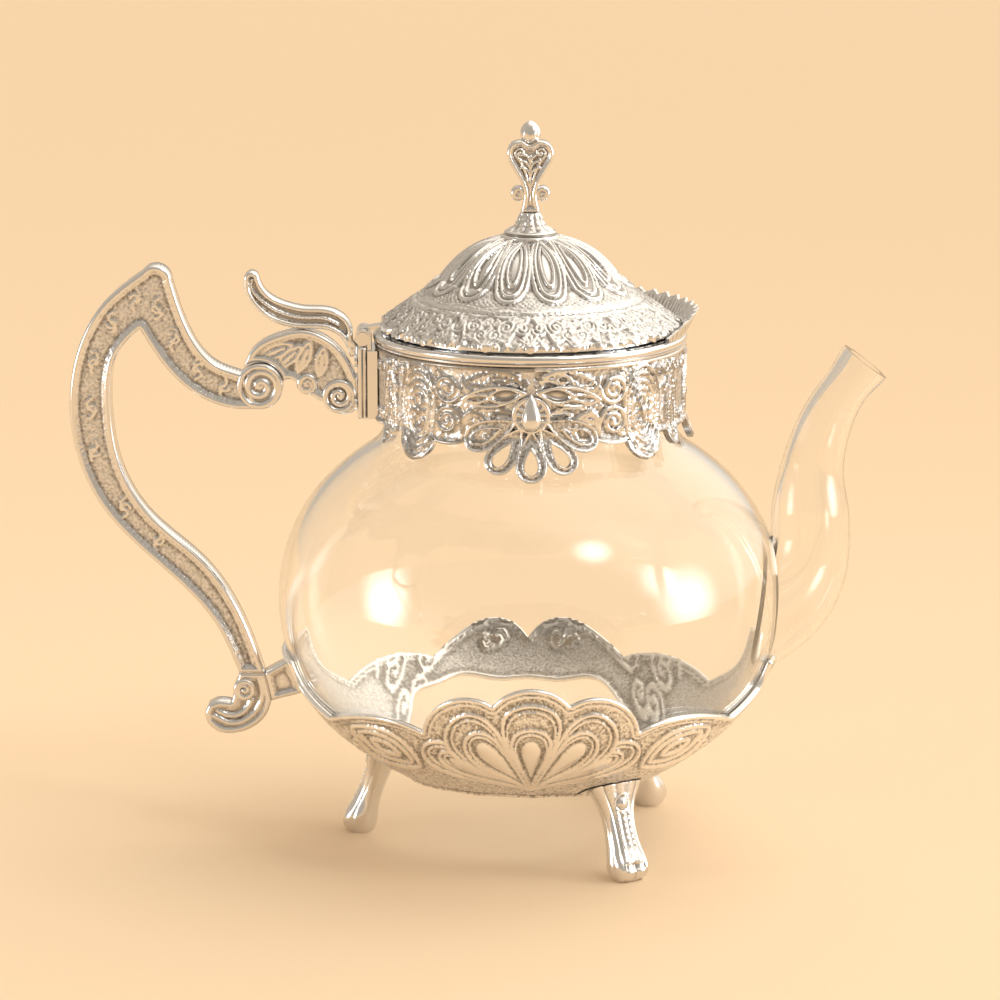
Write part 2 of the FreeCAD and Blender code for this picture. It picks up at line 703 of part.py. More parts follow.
def brim_edge(lower):
    points = []
    for step in range(BRIM_RUFFLES * 4):
        turn = 2 * math.pi * step / (BRIM_RUFFLES * 4)
        swing = math.cos(BRIM_RUFFLES * turn)
        reach = BRIM_RADIUS + BRIM_SWING * swing
        height = brim_height(BRIM_RADIUS) - lower - BRIM_SWING * swing * 0.6
        points.append(V(reach * math.cos(turn), reach * math.sin(turn), height))
    spline = Part.BSplineCurve()
    spline.interpolate(Points=points, PeriodicFlag=True)
    return spline.toShape()


def brim_ring(radius, lower):
    return Part.Circle(V(0, 0, brim_top - lower), V(0, 0, 1), radius).toShape()


brim = skin([
    Part.makeRuledSurface(brim_ring(brim_in, 0), brim_ring(DOME_RADIUS, 0)),
    Part.makeRuledSurface(brim_ring(DOME_RADIUS, 0), brim_edge(0)),
    Part.makeRuledSurface(brim_edge(0), brim_edge(BRIM_WALL)),
    Part.makeRuledSurface(brim_edge(BRIM_WALL), brim_ring(DOME_RADIUS, BRIM_WALL)),
    Part.makeRuledSurface(brim_ring(DOME_RADIUS, BRIM_WALL), brim_ring(brim_in, BRIM_WALL)),
    Part.makeRuledSurface(brim_ring(brim_in, BRIM_WALL), brim_ring(brim_in, 0)),
])
leaf_half = LID_KNUCKLE_LENGTH / 2
bezel_out = neck_in - BEZEL_GAP
bezel_flange = NECK_RADIUS - 0.2
notch = Part.makeBox(20, 2 * leaf_half + 1.6, 30, V(
    -(bezel_flange + 20), -leaf_half - 0.8, rim_top - 5))
pieces["lid_brim"] = brim.cut(notch)

# Bezel: a ring under the brim whose skirt drops into the glass neck
bezel_z = rim_top + LID_GAP
bezel_in = bezel_out - BEZEL_WALL
pieces["lid_bezel"] = revolved(outline([
    (bezel_in, bezel_z - BEZEL_DEPTH),
    (bezel_out, bezel_z - BEZEL_DEPTH),
    (bezel_out, bezel_z),
    (bezel_flange, bezel_z),
    (bezel_flange, brim_height(bezel_flange) - BRIM_WALL - SEAM),
    (bezel_in, brim_height(bezel_in) - BRIM_WALL - SEAM),
]))

# Hinge leaf: the lid's knuckle with an arm over the rim to the bezel
leaf_top = hinge_z + KNUCKLE_RADIUS
arm = slab(outline([
    (hinge_x, bezel_z),
    (-bezel_flange + 2, bezel_z),
    (-bezel_flange + 2, leaf_top + 0.9),
    (-bezel_flange - 1.0, leaf_top + 0.9),
    (hinge_x, leaf_top),
]), LID_KNUCKLE_LENGTH)
arm = arm.cut(Part.makeCylinder(bezel_flange + SEAM, 40, V(0, 0, rim_top - 10)))
leaf = arm.fuse(disc(hinge_x, hinge_z, KNUCKLE_RADIUS, LID_KNUCKLE_LENGTH)).removeSplitter()
pieces["lid_leaf"] = leaf.cut(disc(hinge_x, hinge_z, PIN_RADIUS + RUN_GAP, 40))

# Lid dome with raised petals
dome_cap = 7.6
dome_steps = [(1.0, 0.0), (0.873, 0.13), (0.726, 0.44), (0.524, 0.795), (0.26, 1.0)]


def dome_curve(out, lift):
    points = []
    for reach, rise in dome_steps:
        points.append((DOME_RADIUS * reach + out, brim_top + DOME_RISE * rise + lift))
    return points


def dome_skin(top, bottom):
    upper = dome_curve(top * 0.5, top * 0.9)
    under = dome_curve(bottom * 0.5, bottom * 0.9)
    return revolved(Part.Wire([
        edge((0, under[-1][1]), (0, upper[-1][1])),
        edge((0, upper[-1][1]), upper[-1]),
        curve(upper[::-1]),
        edge(upper[0], under[0]),
        curve(under),
        edge(under[-1], (0, under[-1][1])),
    ]))


def petal(start, stop, half):
    middle = stop - half
    wire = Part.Wire([
        Part.makeLine(V(start, 0, 0), V(middle, half, 0)),
        Part.Arc(V(middle, half, 0), V(stop, 0, 0), V(middle, -half, 0)).toShape(),
        Part.makeLine(V(middle, -half, 0), V(start, 0, 0)),
    ])
    return Part.Face(wire).extrude(V(0, 0, 300))


dome = dome_skin(0, -DOME_WALL)
raised = dome_skin(PETAL_RISE, -DOME_WALL / 2).common(petal(9.0, 24.6, 3.9))
ridges = [dome]
for number in range(PETALS):
    ridges.append(turned(raised, 360 / PETALS * (number + 0.5) - 90))
dome = fused(ridges)
seat = Part.makeCylinder(DOME_RADIUS + 20, 40, V(0, 0, brim_top + SEAM - 40))
dome_top = brim_top + DOME_RISE
screw_hole = Part.makeCylinder(FINIAL_SCREW_RADIUS + FIXED_GAP, 60, V(0, 0, brim_top))
pieces["lid_dome"] = dome.cut(seat).cut(screw_hole)

# Finial base, finial and the screw that holds them
base_z = dome_top + SEAM
finial_z = base_z + 6.9
finial_base = revolved(Part.Wire([
    edge((0, base_z), (7.2, base_z)),
    arc((7.2, base_z), (7.7, base_z + 0.6), (7.0, base_z + 1.2)),
    curve([(7.0, base_z + 1.2), (4.6, base_z + 2.6), (3.0, base_z + 5.0), (2.6, finial_z)]),
    edge((2.6, finial_z), (0, finial_z)),
    edge((0, finial_z), (0, base_z)),
]))
pieces["finial_base"] = finial_base.cut(screw_hole)


def tall(x, rise):
    return (x, finial_z + SEAM + rise)


def half_heart(side):
    return [
        curve([tall(2.5 * side, 0), tall(2.0 * side, 2.0), tall(1.7 * side, 5.0), tall(2.4 * side, 7.6)]),
        curve([
            tall(2.4 * side, 7.6), tall(4.4 * side, 11.0), tall(6.0 * side, 15.4),
            tall(4.6 * side, 17.8), tall(1.8 * side, 18.4)]),
    ]


heart_wire = Part.Wire(Part.__sortEdges__(
    half_heart(1) + half_heart(-1)
    + [edge(tall(-2.5, 0), tall(2.5, 0)), edge(tall(1.8, 18.4), tall(-1.8, 18.4))]))
finial = [slab(heart_wire, 4.6)]
for side in (-1, 1):
    scroll_x, scroll_z = tall(3.1 * side, 4.8)
    finial.append(disc(scroll_x, scroll_z, 1.9, 3.6))
finial.append(revolved(Part.Wire([
    edge(tall(0, 17.6), tall(1.6, 17.6)),
    curve([tall(1.6, 17.6), tall(2.6, 20.2), tall(1.5, 22.6), tall(0, 23.4)]),
    edge(tall(0, 23.4), tall(0, 17.6)),
])))
screw_top = finial_z + 4.0
blind_hole = Part.makeCylinder(FINIAL_SCREW_RADIUS + FIXED_GAP, screw_top + 0.5 - brim_top, V(0, 0, brim_top))
pieces["finial"] = fused(finial).cut(blind_hole)
dome_under = dome_top - DOME_WALL * 0.9
screw = Part.makeCylinder(FINIAL_SCREW_RADIUS, screw_top - dome_under + 0.5, V(0, 0, dome_under - 0.5))
screw_head = Part.makeCylinder(3.0, 1.6, V(0, 0, dome_under - SEAM - 1.6))
screw_slot = Part.makeBox(8, 0.8, 0.8, V(-4, -0.4, dome_under - SEAM - 1.6))
pieces["finial_screw"] = screw.fuse(screw_head).removeSplitter().cut(screw_slot)

# Move the whole pot so its box stands centred on the origin
whole = FreeCAD.BoundBox()
for shape in pieces.values():
    whole.add(shape.optimalBoundingBox(False, False))
shift = V(-whole.Center.x, -whole.Center.y, -whole.ZMin)
for name, shape in pieces.items():
    shape.translate(shift)
    shape.exportStep("parts/" + name + ".step")
    print(name, len(shape.Solids), round(shape.Volume, 1), shape.isValid())
print("shift", shift, "size", whole.XLength, whole.YLength, whole.ZLength)
print("hinge", hinge_x + shift.x, shift.y, hinge_z + shift.z)
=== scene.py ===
import math

import bmesh
import bpy
import numpy as np
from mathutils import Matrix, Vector, kdtree, noise
from mathutils.geometry import delaunay_2d_cdt


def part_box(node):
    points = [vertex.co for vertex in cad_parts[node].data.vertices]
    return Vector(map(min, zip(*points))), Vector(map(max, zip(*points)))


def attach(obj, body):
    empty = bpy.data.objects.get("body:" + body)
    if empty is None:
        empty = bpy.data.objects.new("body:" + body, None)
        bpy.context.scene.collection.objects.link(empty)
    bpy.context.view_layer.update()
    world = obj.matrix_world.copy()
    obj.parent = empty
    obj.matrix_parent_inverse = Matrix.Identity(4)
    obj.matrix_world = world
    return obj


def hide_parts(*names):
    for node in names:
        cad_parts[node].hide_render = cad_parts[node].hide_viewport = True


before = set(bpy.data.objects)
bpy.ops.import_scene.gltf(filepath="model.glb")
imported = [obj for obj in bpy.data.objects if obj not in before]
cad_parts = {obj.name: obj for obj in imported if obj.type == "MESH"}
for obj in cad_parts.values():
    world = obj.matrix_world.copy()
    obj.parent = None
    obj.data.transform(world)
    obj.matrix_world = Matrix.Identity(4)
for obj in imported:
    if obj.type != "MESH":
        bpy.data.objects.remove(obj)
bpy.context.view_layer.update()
chance = np.random.default_rng(11)

# Sizes are in millimetres about the pot's own upright axis. Angles run from the
# front towards the spout. place() takes points to the shared frame, in metres.
glass_low, glass_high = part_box("glass_body")
GLOBE_RADIUS = 65.2
AXIS_X = glass_low.x * 1000 + GLOBE_RADIUS
AXIS_Y = (glass_low.y + glass_high.y) * 500

SIDE_ARC = 44.0
GLOBE_Z = 65.6
SIDE_X = GLOBE_RADIUS - SIDE_ARC
CAP_SHIFT = 24.09
CAP_ARC = 76.09
JOIN = math.atan2(CAP_SHIFT, SIDE_X)
GLASS_WALL = 2.0
NECK_RADIUS = 37.0
NECK_FILLET = 10.0
NECK_BASE = 113.64
NECK_TOP = 133.94
RIM_TOP = 135.24
BAND_TOP = 132.44
BAND_IN = 38.4
BAND_OUT = 39.6
PLATE_OUT = 44.2
STRUT_Z = 42.0
CRADLE_IN = 0.15
CRADLE_OUT = 1.45
BRIM_TOP = 143.79
BRIM_RADIUS = 38.3
DOME_RADIUS = 29.2
BASE_Z = 158.84
FINIAL_Z = 165.74
FOOT_RADIUS = 44.0
SEAM = 0.05
VIEW_DOWN = 12


def place(points):
    """Points about the pot's axis, taken to the shared frame."""
    return (np.asarray(points, float) + (AXIS_X, AXIS_Y, 0)) / 1000


# Lines and outlines, as rows of flat points.

def run_of(line):
    """Distance along a line at each of its points."""
    return np.concatenate([[0], np.cumsum(np.linalg.norm(np.diff(line, axis=0), axis=1))])


def full_turn(count):
    """Even angles all the way round."""
    return np.linspace(0, 2 * math.pi, count, endpoint=False)


def round_points(x, y, reach, turn):
    """Points about (x, y) at given distances and angles."""
    return np.column_stack([x + reach * np.cos(turn), y + reach * np.sin(turn)])


def smooth_line(points, count=12, closed=False):
    """Points along a smooth line through the given ones."""
    p = np.array(points, float)
    spans = range(len(p) - 1)
    if closed:
        spans = range(4, 4 + len(p))
        p = np.vstack([p[-4:], p, p[:5]])
    t = run_of(p)
    h = np.diff(t)
    sides = np.eye(len(t))
    pull = np.zeros((len(t), 2))
    for i in range(1, len(t) - 1):
        sides[i, i - 1:i + 2] = h[i - 1], 2 * (h[i - 1] + h[i]), h[i]
        pull[i] = 6 * ((p[i + 1] - p[i]) / h[i] - (p[i] - p[i - 1]) / h[i - 1])
    bend = np.linalg.solve(sides, pull)
    made = []
    for i in spans:
        for u in np.linspace(0, h[i], count, endpoint=False):
            v = h[i] - u
            made.append(
                bend[i] * v ** 3 / (6 * h[i]) + bend[i + 1] * u ** 3 / (6 * h[i])
                + (p[i] / h[i] - bend[i] * h[i] / 6) * v
                + (p[i + 1] / h[i] - bend[i + 1] * h[i] / 6) * u)
    if not closed:
        made.append(p[-1])
    return np.array(made)


def bow(a, b, c):
    """Points along the circle arc through three points."""
    (ax, ay), (bx, by), (cx, cy) = a, b, c
    d = 2 * (ax * (by - cy) + bx * (cy - ay) + cx * (ay - by))
    a2, b2, c2 = ax * ax + ay * ay, bx * bx + by * by, cx * cx + cy * cy
    x = (a2 * (by - cy) + b2 * (cy - ay) + c2 * (ay - by)) / d
    y = (a2 * (cx - bx) + b2 * (ax - cx) + c2 * (bx - ax)) / d
    start = math.atan2(ay - y, ax - x)
    middle = (math.atan2(by - y, bx - x) - start) % (2 * math.pi)
    stop = (math.atan2(cy - y, cx - x) - start) % (2 * math.pi)
    if middle > stop:
        stop -= 2 * math.pi
    turn = start + np.linspace(0, stop, 24)
    return round_points(x, y, math.hypot(ax - x, ay - y), turn)


def even(line, spacing):
    """The same open line with evenly spaced points."""
    line = np.asarray(line, float)
    run = run_of(line)
    at = np.linspace(0, run[-1], max(2, int(round(run[-1] / spacing)) + 1))
    return np.column_stack([np.interp(at, run, line[:, k]) for k in range(line.shape[1])])


def even_loop(loop, spacing):
    """The same closed outline with evenly spaced points."""
    return even(np.vstack([loop, loop[:1]]), spacing)[:-1]


def outline(lines, spacing):
    """A closed outline from lines end to end, each evenly divided."""
    return np.vstack([even(line, spacing)[:-1] for line in lines])


OUTLINE_GAP = 0.4


def ring(x, y, radius):
    """A circle."""
    return round_points(x, y, radius, full_turn(max(16, int(6.28 * radius / OUTLINE_GAP))))


def heading(angle):
    """The way that an angle points: 0 is up, positive to the right."""
    return np.array([math.sin(math.radians(angle)), math.cos(math.radians(angle))])


def aimed(root, along, aside, angle):
    """Points along and aside of a heading from root."""
    x, y = heading(angle)
    return np.column_stack([root[0] + along * x + aside * y, root[1] + along * y - aside * x])


def drop(root, length, half, angle, spacing=OUTLINE_GAP, sharp=1.0):
    """A teardrop outline with its point at root."""
    t = full_turn(max(40, int(2.6 * length / spacing)))
    aside = np.sin(t) * np.sin(t / 2) ** sharp
    return aimed(root, length * (1 - np.cos(t)) / 2, aside * (half / aside.max()), angle)


def leaf(root, length, half, angle):
    """A leaf outline, pointed at both ends."""
    t = np.linspace(0, 1, max(20, int(length / OUTLINE_GAP)))
    side = half * np.sin(math.pi * t) ** 0.8
    along = np.concatenate([t, t[-2:0:-1]]) * length
    return aimed(root, along, np.concatenate([side, -side[-2:0:-1]]), angle)


def spiral(x, y, radius, turns, start, side, end=0.1):
    """A line winding inwards from radius, start in degrees, side 1 or -1 for its sense."""
    t = np.linspace(0, 1, int(28 * turns))
    reach = radius * (1 - (1 - end) * t)
    return round_points(x, y, reach, math.radians(start) + side * 2 * math.pi * turns * t)


def curl_pair(x, gap, y, radius, turns, start, sense=1):
    """Two spirals left and right of x, wound opposite ways."""
    return [spiral(x + side * gap, y, radius, turns, start, sense * side) for side in (-1, 1)]


# Distances from lines, and the heights of relief that follow from them.

def apart(points, line, closed):
    """The distance from each point to a line."""
    line = np.asarray(line, float)
    fine = even(np.vstack([line, line[:1]]) if closed else line, 0.1)
    tree = kdtree.KDTree(len(fine))
    for number, (x, y) in enumerate(fine):
        tree.insert((x, y, 0), number)
    tree.balance()
    return np.array([tree.find((x, y, 0))[2] for x, y in points])


def ridge(points, line, half, closed=False):
    """A rounded ridge along a line, 1 on it and 0 from half its width on."""
    line = np.asarray(line, float)
    near = np.all((points > line.min(0) - half) & (points < line.max(0) + half), axis=1)
    high = np.zeros(len(points))
    if near.any():
        high[near] = hump(apart(points[near], line, closed), half)
    return high


def within(points, loop):
    """Which points lie inside a closed outline."""
    x, y = points[:, 0], points[:, 1]
    inside = np.zeros(len(points), bool)
    for (x1, y1), (x2, y2) in zip(loop, np.roll(loop, -1, axis=0)):
        crosses = (y1 > y) != (y2 > y)
        if y1 != y2:
            inside ^= crosses & (x < (x2 - x1) * (y - y1) / (y2 - y1) + x1)
    return inside


FAR = 5.0


def deep(points, loop):
    """Depth inside a closed outline, negative outside it and no less than -FAR."""
    near = np.all((points > loop.min(0) - FAR) & (points < loop.max(0) + FAR), axis=1)
    depth = np.full(len(points), -FAR)
    far = apart(points[near], loop, True)
    depth[near] = np.where(within(points[near], loop), far, -far)
    return depth


def hump(distance, half):
    """A rounded ridge, 1 on its line and 0 from half its width on."""
    return np.sqrt(np.clip(1 - (distance / half) ** 2, 0, 1))


def step(value, low, high):
    """A soft step from 0 at low to 1 at high."""
    t = np.clip((value - low) / (high - low), 0, 1)
    return t * t * (3 - 2 * t)


def crumple(points, size, seed=0.0):
    """Smooth noise from -1 to 1 with features of about the given size."""
    shift = np.array([seed, -seed, 0.0])
    return np.array([noise.noise(Vector(p)) for p in points / size + shift])


# Objects and meshes.

def added(name, data):
    """A new object in the scene."""
    obj = bpy.data.objects.new(name, data)
    bpy.context.scene.collection.objects.link(obj)
    return obj


def settled(obj):
    """The mesh that an object's modifiers make. The modifiers are then removed."""
    bpy.context.view_layer.update()
    made = bpy.data.meshes.new_from_object(obj.evaluated_get(bpy.context.evaluated_depsgraph_get()))
    obj.modifiers.clear()
    return made


def new_mesh(name, points, edges=(), faces=()):
    mesh = bpy.data.meshes.new(name)
    mesh.from_pydata(points, edges, faces)
    return mesh


def marked(mesh, name, values):
    """Keeps one value for each point of a mesh."""
    mark = mesh.attributes.new(name, "FLOAT", "POINT")
    mark.data.foreach_set("value", np.asarray(values, np.float32))


def read_points(mesh, name="co"):
    values = np.zeros(len(mesh.vertices) * 3)
    mesh.vertices.foreach_get(name, values)
    return values.reshape(-1, 3)


# Shells: points with faces.

ROW_GAP = 0.866
JITTER = 0.12


def square_off(loop):
    """Unit steps square to a closed outline, outwards where it runs anticlockwise."""
    way = np.roll(loop, -1, axis=0) - np.roll(loop, 1, axis=0)
    way /= np.maximum(np.linalg.norm(way, axis=1), 1e-9)[:, None]
    return np.column_stack([way[:, 1], -way[:, 0]])


def filled(loops, spacing, rings, finer=None):
    """Flat points and triangles that fill loops[0] around the other loops, which are holes.
    rings are distances of extra rows beside every edge. finer is (spacing, test) for a closer part."""
    starts = [sum(map(len, loops[:k])) for k in range(len(loops))]
    edges = [(s + i, s + (i + 1) % len(loop)) for s, loop in zip(starts, loops) for i in range(len(loop))]
    low, high = loops[0].min(0), loops[0].max(0)

    def mesh_points(gap):
        rows = np.arange(low[1], high[1], gap * ROW_GAP)
        found = []
        for number, y in enumerate(rows):
            x = np.arange(low[0] + (number % 2) * gap / 2, high[0], gap)
            found.append(np.column_stack([x, np.full(len(x), y)]))
        return np.vstack(found)

    def inside(points):
        good = within(points, loops[0])
        for hole in loops[1:]:
            good &= ~within(points, hole)
        return good

    def kept(points, clear):
        points = points[inside(points)]
        far = np.min([apart(points, loop, True) for loop in loops], axis=0)
        return points[far > clear]

    spots = []
    for distance in rings:
        for loop in loops:
            for side in (-1, 1):
                spots.append(kept(loop + side * square_off(loop) * distance, distance * 0.96))
    field = mesh_points(spacing)
    if finer:
        field = field[~finer[1](field)]
        close = mesh_points(finer[0])
        field = np.vstack([field, close[finer[1](close)]])
    field = field + chance.uniform(-JITTER, JITTER, field.shape) * spacing
    spots.append(kept(field, rings[-1] + 0.4 * spacing))
    cloud = np.vstack(loops + spots)
    made = delaunay_2d_cdt([Vector(p) for p in cloud], edges, [], 1, 1e-5)
    flat = np.array([(v.x, v.y) for v in made[0]])
    triangles = np.array(made[2])
    triangles = triangles[inside(flat[triangles].mean(1))]
    lookup = {source: number for number, sources in enumerate(made[3]) for source in sources}
    borders = [[lookup[s + i] for i in range(len(loop))] for s, loop in zip(starts, loops)]
    return flat, triangles, borders


def walled(front, back, triangles, borders, skip=None):
    """A closed shell from a front and a back over the same triangles, with walls along the borders."""
    count = len(front)
    faces = [tuple(t) for t in triangles] + [tuple(t[::-1] + count) for t in triangles]
    for border in borders:
        for a, b in zip(border, border[1:] + border[:1]):
            if skip is None or not skip(a, b):
                faces.append((a, a + count, b + count, b))
    return np.vstack([front, back]), faces


def turned(loop, angles, relief=None, whole=True):
    """A closed profile of (radius, height) turned about the axis. relief(radius, height, angle) gives
    how far each point stands out square to the profile."""
    loop = np.asarray(loop, float)
    out = square_off(loop)
    area = (loop[:, 0] * np.roll(loop[:, 1], -1) - np.roll(loop[:, 0], -1) * loop[:, 1]).sum()
    if area < 0:
        out = -out
    a, r = np.meshgrid(angles, loop[:, 0], indexing="ij")
    z = np.broadcast_to(loop[:, 1], r.shape)
    lift = relief(r, z, a) if relief else np.zeros(r.shape)
    r = r + lift * out[:, 0]
    z = z + lift * out[:, 1]
    points = np.stack([r * np.sin(a), -r * np.cos(a), z], axis=2).reshape(-1, 3)
    rows, cols = len(angles), len(loop)
    i, j = np.meshgrid(np.arange(rows), np.arange(cols), indexing="ij")
    i2, j2 = (i + 1) % rows, (j + 1) % cols
    faces = np.stack([i * cols + j, i2 * cols + j, i2 * cols + j2, i * cols + j2], axis=2)
    faces = faces[:None if whole else -1].reshape(-1, 4)
    return points, [tuple(map(int, f)) for f in faces]


def stacked(rows):
    """A closed skin over equal rows of points that each run all the way round."""
    count, top = len(rows[0]), len(rows) - 1
    faces = []
    for first in range(0, top * count, count):
        for k in range(count):
            n = (k + 1) % count
            faces.append((first + k, first + n, first + count + n, first + count + k))
    faces += [tuple(range(count))[::-1], tuple(range(top * count, (top + 1) * count))]
    return np.vstack(rows), faces


def gathered(parts):
    """Several shells with their stipple marks as one shell with its marks."""
    faces = []
    first = 0
    for (points, part_faces), _ in parts:
        faces += [tuple(v + first for v in face) for face in part_faces]
        first += len(points)
    return (np.vstack([shell[0] for shell, _ in parts]), faces), np.concatenate([matte for _, matte in parts])


def plain(shell):
    """A shell with no stipple on it."""
    return shell, np.zeros(len(shell[0]))


def hollows(mesh, reach, depth):
    """Marks the low places of a mesh, where the silver's colour darkens: painted shade, with the tarnish that gathers
    where polish doesn't reach.
    """
    count = len(mesh.vertices)
    points, normals = read_points(mesh) * 1000, read_points(mesh, "normal")
    pairs = np.zeros(len(mesh.edges) * 2, int)
    mesh.edges.foreach_get("vertices", pairs)
    a, b = pairs.reshape(-1, 2).T
    degree = np.maximum(np.bincount(a, minlength=count) + np.bincount(b, minlength=count), 1)
    soft = points.copy()
    for _ in range(reach):
        soft = np.column_stack([
            (np.bincount(a, soft[b, k], count) + np.bincount(b, soft[a, k], count)) / degree for k in range(3)])
    return np.clip(((soft - points) * normals).sum(1) / depth, 0, 1)


def made_piece(name, shell, finish, matte=None, reach=6, depth=0.14, crease=60, weld=False):
    """A mesh object from a shell, with the painted shade and tarnish of its hollows and its stippled ground marked on
    its points.
    """
    points, faces = shell
    mesh = new_mesh(name, place(points).tolist(), [], faces)
    if matte is not None:
        marked(mesh, "matte", matte)
    work = bmesh.new()
    work.from_mesh(mesh)
    if weld:
        bmesh.ops.remove_doubles(work, verts=work.verts, dist=2e-6)
    bmesh.ops.recalc_face_normals(work, faces=work.faces)
    work.to_mesh(mesh)
    work.free()
    mesh.shade_smooth()
    mesh.set_sharp_from_angle(angle=math.radians(crease))
    # Painted shade and tarnish in the hollows, kept as a mark that darkens the silver's colour.
    marked(mesh, "tarnish_and_shade", hollows(mesh, reach, depth))
    mesh.materials.append(finish)
    return added(name, mesh)


def fitted(obj, body, slot, *nodes):
    """Makes a finished piece ride on its body in place of its solids."""
    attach(obj, body)
    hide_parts(*nodes)


# Finishes.

class Socket:
    """One output of a node. Sums, products and the like add Math nodes."""

    def __init__(self, tree, socket):
        self.tree = tree
        self.socket = socket

    def maths(self, operation, a, b):
        return Nodes(self.tree).add("ShaderNodeMath", {0: a, 1: b}, operation=operation)

    def __add__(self, other):
        return self.maths("ADD", self, other)

    def __radd__(self, other):
        return self.maths("ADD", other, self)

    def __rsub__(self, other):
        return self.maths("SUBTRACT", other, self)

    def __mul__(self, other):
        return self.maths("MULTIPLY", self, other)

    def __truediv__(self, other):
        return self.maths("DIVIDE", self, other)


class Nodes:
    """The nodes of one material, world, lamp or rule."""

    def __init__(self, tree):
        self.tree = tree

    def add(self, kind, sockets=None, output=0, **settings):
        """Adds a node: its settings first, then values or links for its sockets. Gives one output."""
        node = self.tree.nodes.new(kind)
        for name, value in settings.items():
            setattr(node, name, value)
        for name, value in (sockets or {}).items():
            if isinstance(value, Socket):
                self.tree.links.new(value.socket, node.inputs[name])
            else:
                node.inputs[name].default_value = value
        if not node.outputs:
            return node
        return Socket(self.tree, node.outputs[output])

    def cloud(self, scale, detail):
        """Noise over the object's own coordinates."""
        at = self.add("ShaderNodeTexCoord", output="Object")
        return self.add("ShaderNodeTexNoise", {"Vector": at, "Scale": scale, "Detail": detail})

    def mix(self, factor, a, b):
        """A colour from a to b."""
        return self.add("ShaderNodeMix", {"Factor": factor, 6: a, 7: b}, 2, data_type="RGBA")


def new_finish(name):
    finish = bpy.data.materials.new(name)
    finish.use_nodes = True
    finish.node_tree.nodes.clear()
    return finish, Nodes(finish.node_tree)


def silver_finish(name, bright, shade, grain_size, shine):
    """Polished silver with hollows darkened by painted shade and tarnish, and a stippled ground, from the marks on the
    mesh.
    """
    finish, nodes = new_finish(name)
    tarnish_and_shade, matte = [
        nodes.add("ShaderNodeAttribute", output="Fac", attribute_name=mark) for mark in ("tarnish_and_shade", "matte")]
    grain, smudge = nodes.cloud(1000 / grain_size, 2.0), nodes.cloud(70.0, 4.0)
    # The colour darkens towards shade with the painted shade and tarnish of the hollows, and with the speckle of the
    # stippled ground.
    dark = nodes.add(
        "ShaderNodeMath", {0: tarnish_and_shade * 0.72, 1: matte * (0.56 - grain) * 1.7}, operation="ADD", use_clamp=True)
    bump = nodes.add(
        "ShaderNodeBump", {"Strength": 0.55, "Distance": 0.00025, "Height": grain * matte + smudge * 0.02})
    skin = nodes.add("ShaderNodeBsdfPrincipled", {
        "Base Color": nodes.mix(dark, bright, shade), "Metallic": 1.0,
        "Roughness": shine + matte * 0.16 + tarnish_and_shade * 0.14 + smudge * 0.06, "Normal": bump})
    nodes.add("ShaderNodeOutputMaterial", {"Surface": skin})
    return finish


def glass_finish(name):
    """Clear glass with a faint warm tint, which lets lamp light through to the floor."""
    finish, nodes = new_finish(name)
    bump = nodes.add("ShaderNodeBump", {"Strength": 0.04, "Distance": 0.002, "Height": nodes.cloud(26.0, 1.0)})
    skin = nodes.add("ShaderNodeBsdfPrincipled", {
        "Base Color": (1.0, 0.995, 0.985, 1), "Roughness": 0.0, "IOR": 1.47,
        "Transmission Weight": 1.0, "Normal": bump})
    clear = nodes.add("ShaderNodeBsdfTransparent", {"Color": (0.96, 0.95, 0.93, 1)})
    path = nodes.add("ShaderNodeLightPath", output="Is Shadow Ray")
    both = nodes.add("ShaderNodeMixShader", {0: path, 1: skin, 2: clear})
    nodes.add("ShaderNodeOutputMaterial", {"Surface": both})
    return finish


def sleeve_finish(name):
    """Soft clear-grey sleeve between the glass and the collar."""
    finish, nodes = new_finish(name)
    skin = nodes.add("ShaderNodeBsdfPrincipled", {
        "Base Color": (0.72, 0.70, 0.66, 1), "Roughness": 0.42 + nodes.cloud(240.0, 3.0) * 0.15})
    nodes.add("ShaderNodeOutputMaterial", {"Surface": skin})
    return finish


silver = silver_finish("chased_silver", (0.80, 0.79, 0.785, 1), (0.25, 0.22, 0.19, 1), 0.8, 0.13)
# A lighter copy of the same silver for the cradle: painted light that makes the cradle look more brightly lit.
cradle_silver_painted_brighter = silver_finish("stippled_silver_painted_brighter", (0.95, 0.935, 0.92, 1), (0.30, 0.27, 0.23, 1), 0.7, 0.16)
glass = glass_finish("clear_glass")
sleeve = sleeve_finish("soft_sleeve")


def silver_piece(name, node, shell, matte=None, body="pot", finish=silver, **marks):
    """A finished silver piece in place of one solid."""
    fitted(made_piece(name, shell, finish, matte, **marks), body, "silver", node)


# Rules for repeated pieces: beads, screws and petals.

def new_rule(name, sizes, source, result):
    """An empty node tree with named inputs for its sizes."""
    tree = bpy.data.node_groups.new(name, "GeometryNodeTree")
    tree.interface.new_socket(source, in_out="INPUT", socket_type="NodeSocketGeometry")
    for size, kind in sizes.items():
        tree.interface.new_socket(size, in_out="INPUT", socket_type="NodeSocket" + kind)
    tree.interface.new_socket(result, in_out="OUTPUT", socket_type="NodeSocketGeometry")
    entry = tree.nodes.new("NodeGroupInput")
    return tree, Nodes(tree), {socket.name: Socket(tree, socket) for socket in entry.outputs if socket.name}


def finish_rule(nodes, copies, finish, merge=0):
    """Ends a tree: its copies become real mesh, joined where they meet, and get their finish."""
    real = nodes.add("GeometryNodeRealizeInstances", {"Geometry": copies})
    if merge:
        real = nodes.add("GeometryNodeMergeByDistance", {"Geometry": real, "Distance": merge})
    done = nodes.add("GeometryNodeSetMaterial", {"Geometry": real, "Material": finish})
    nodes.add("NodeGroupOutput", {0: done})


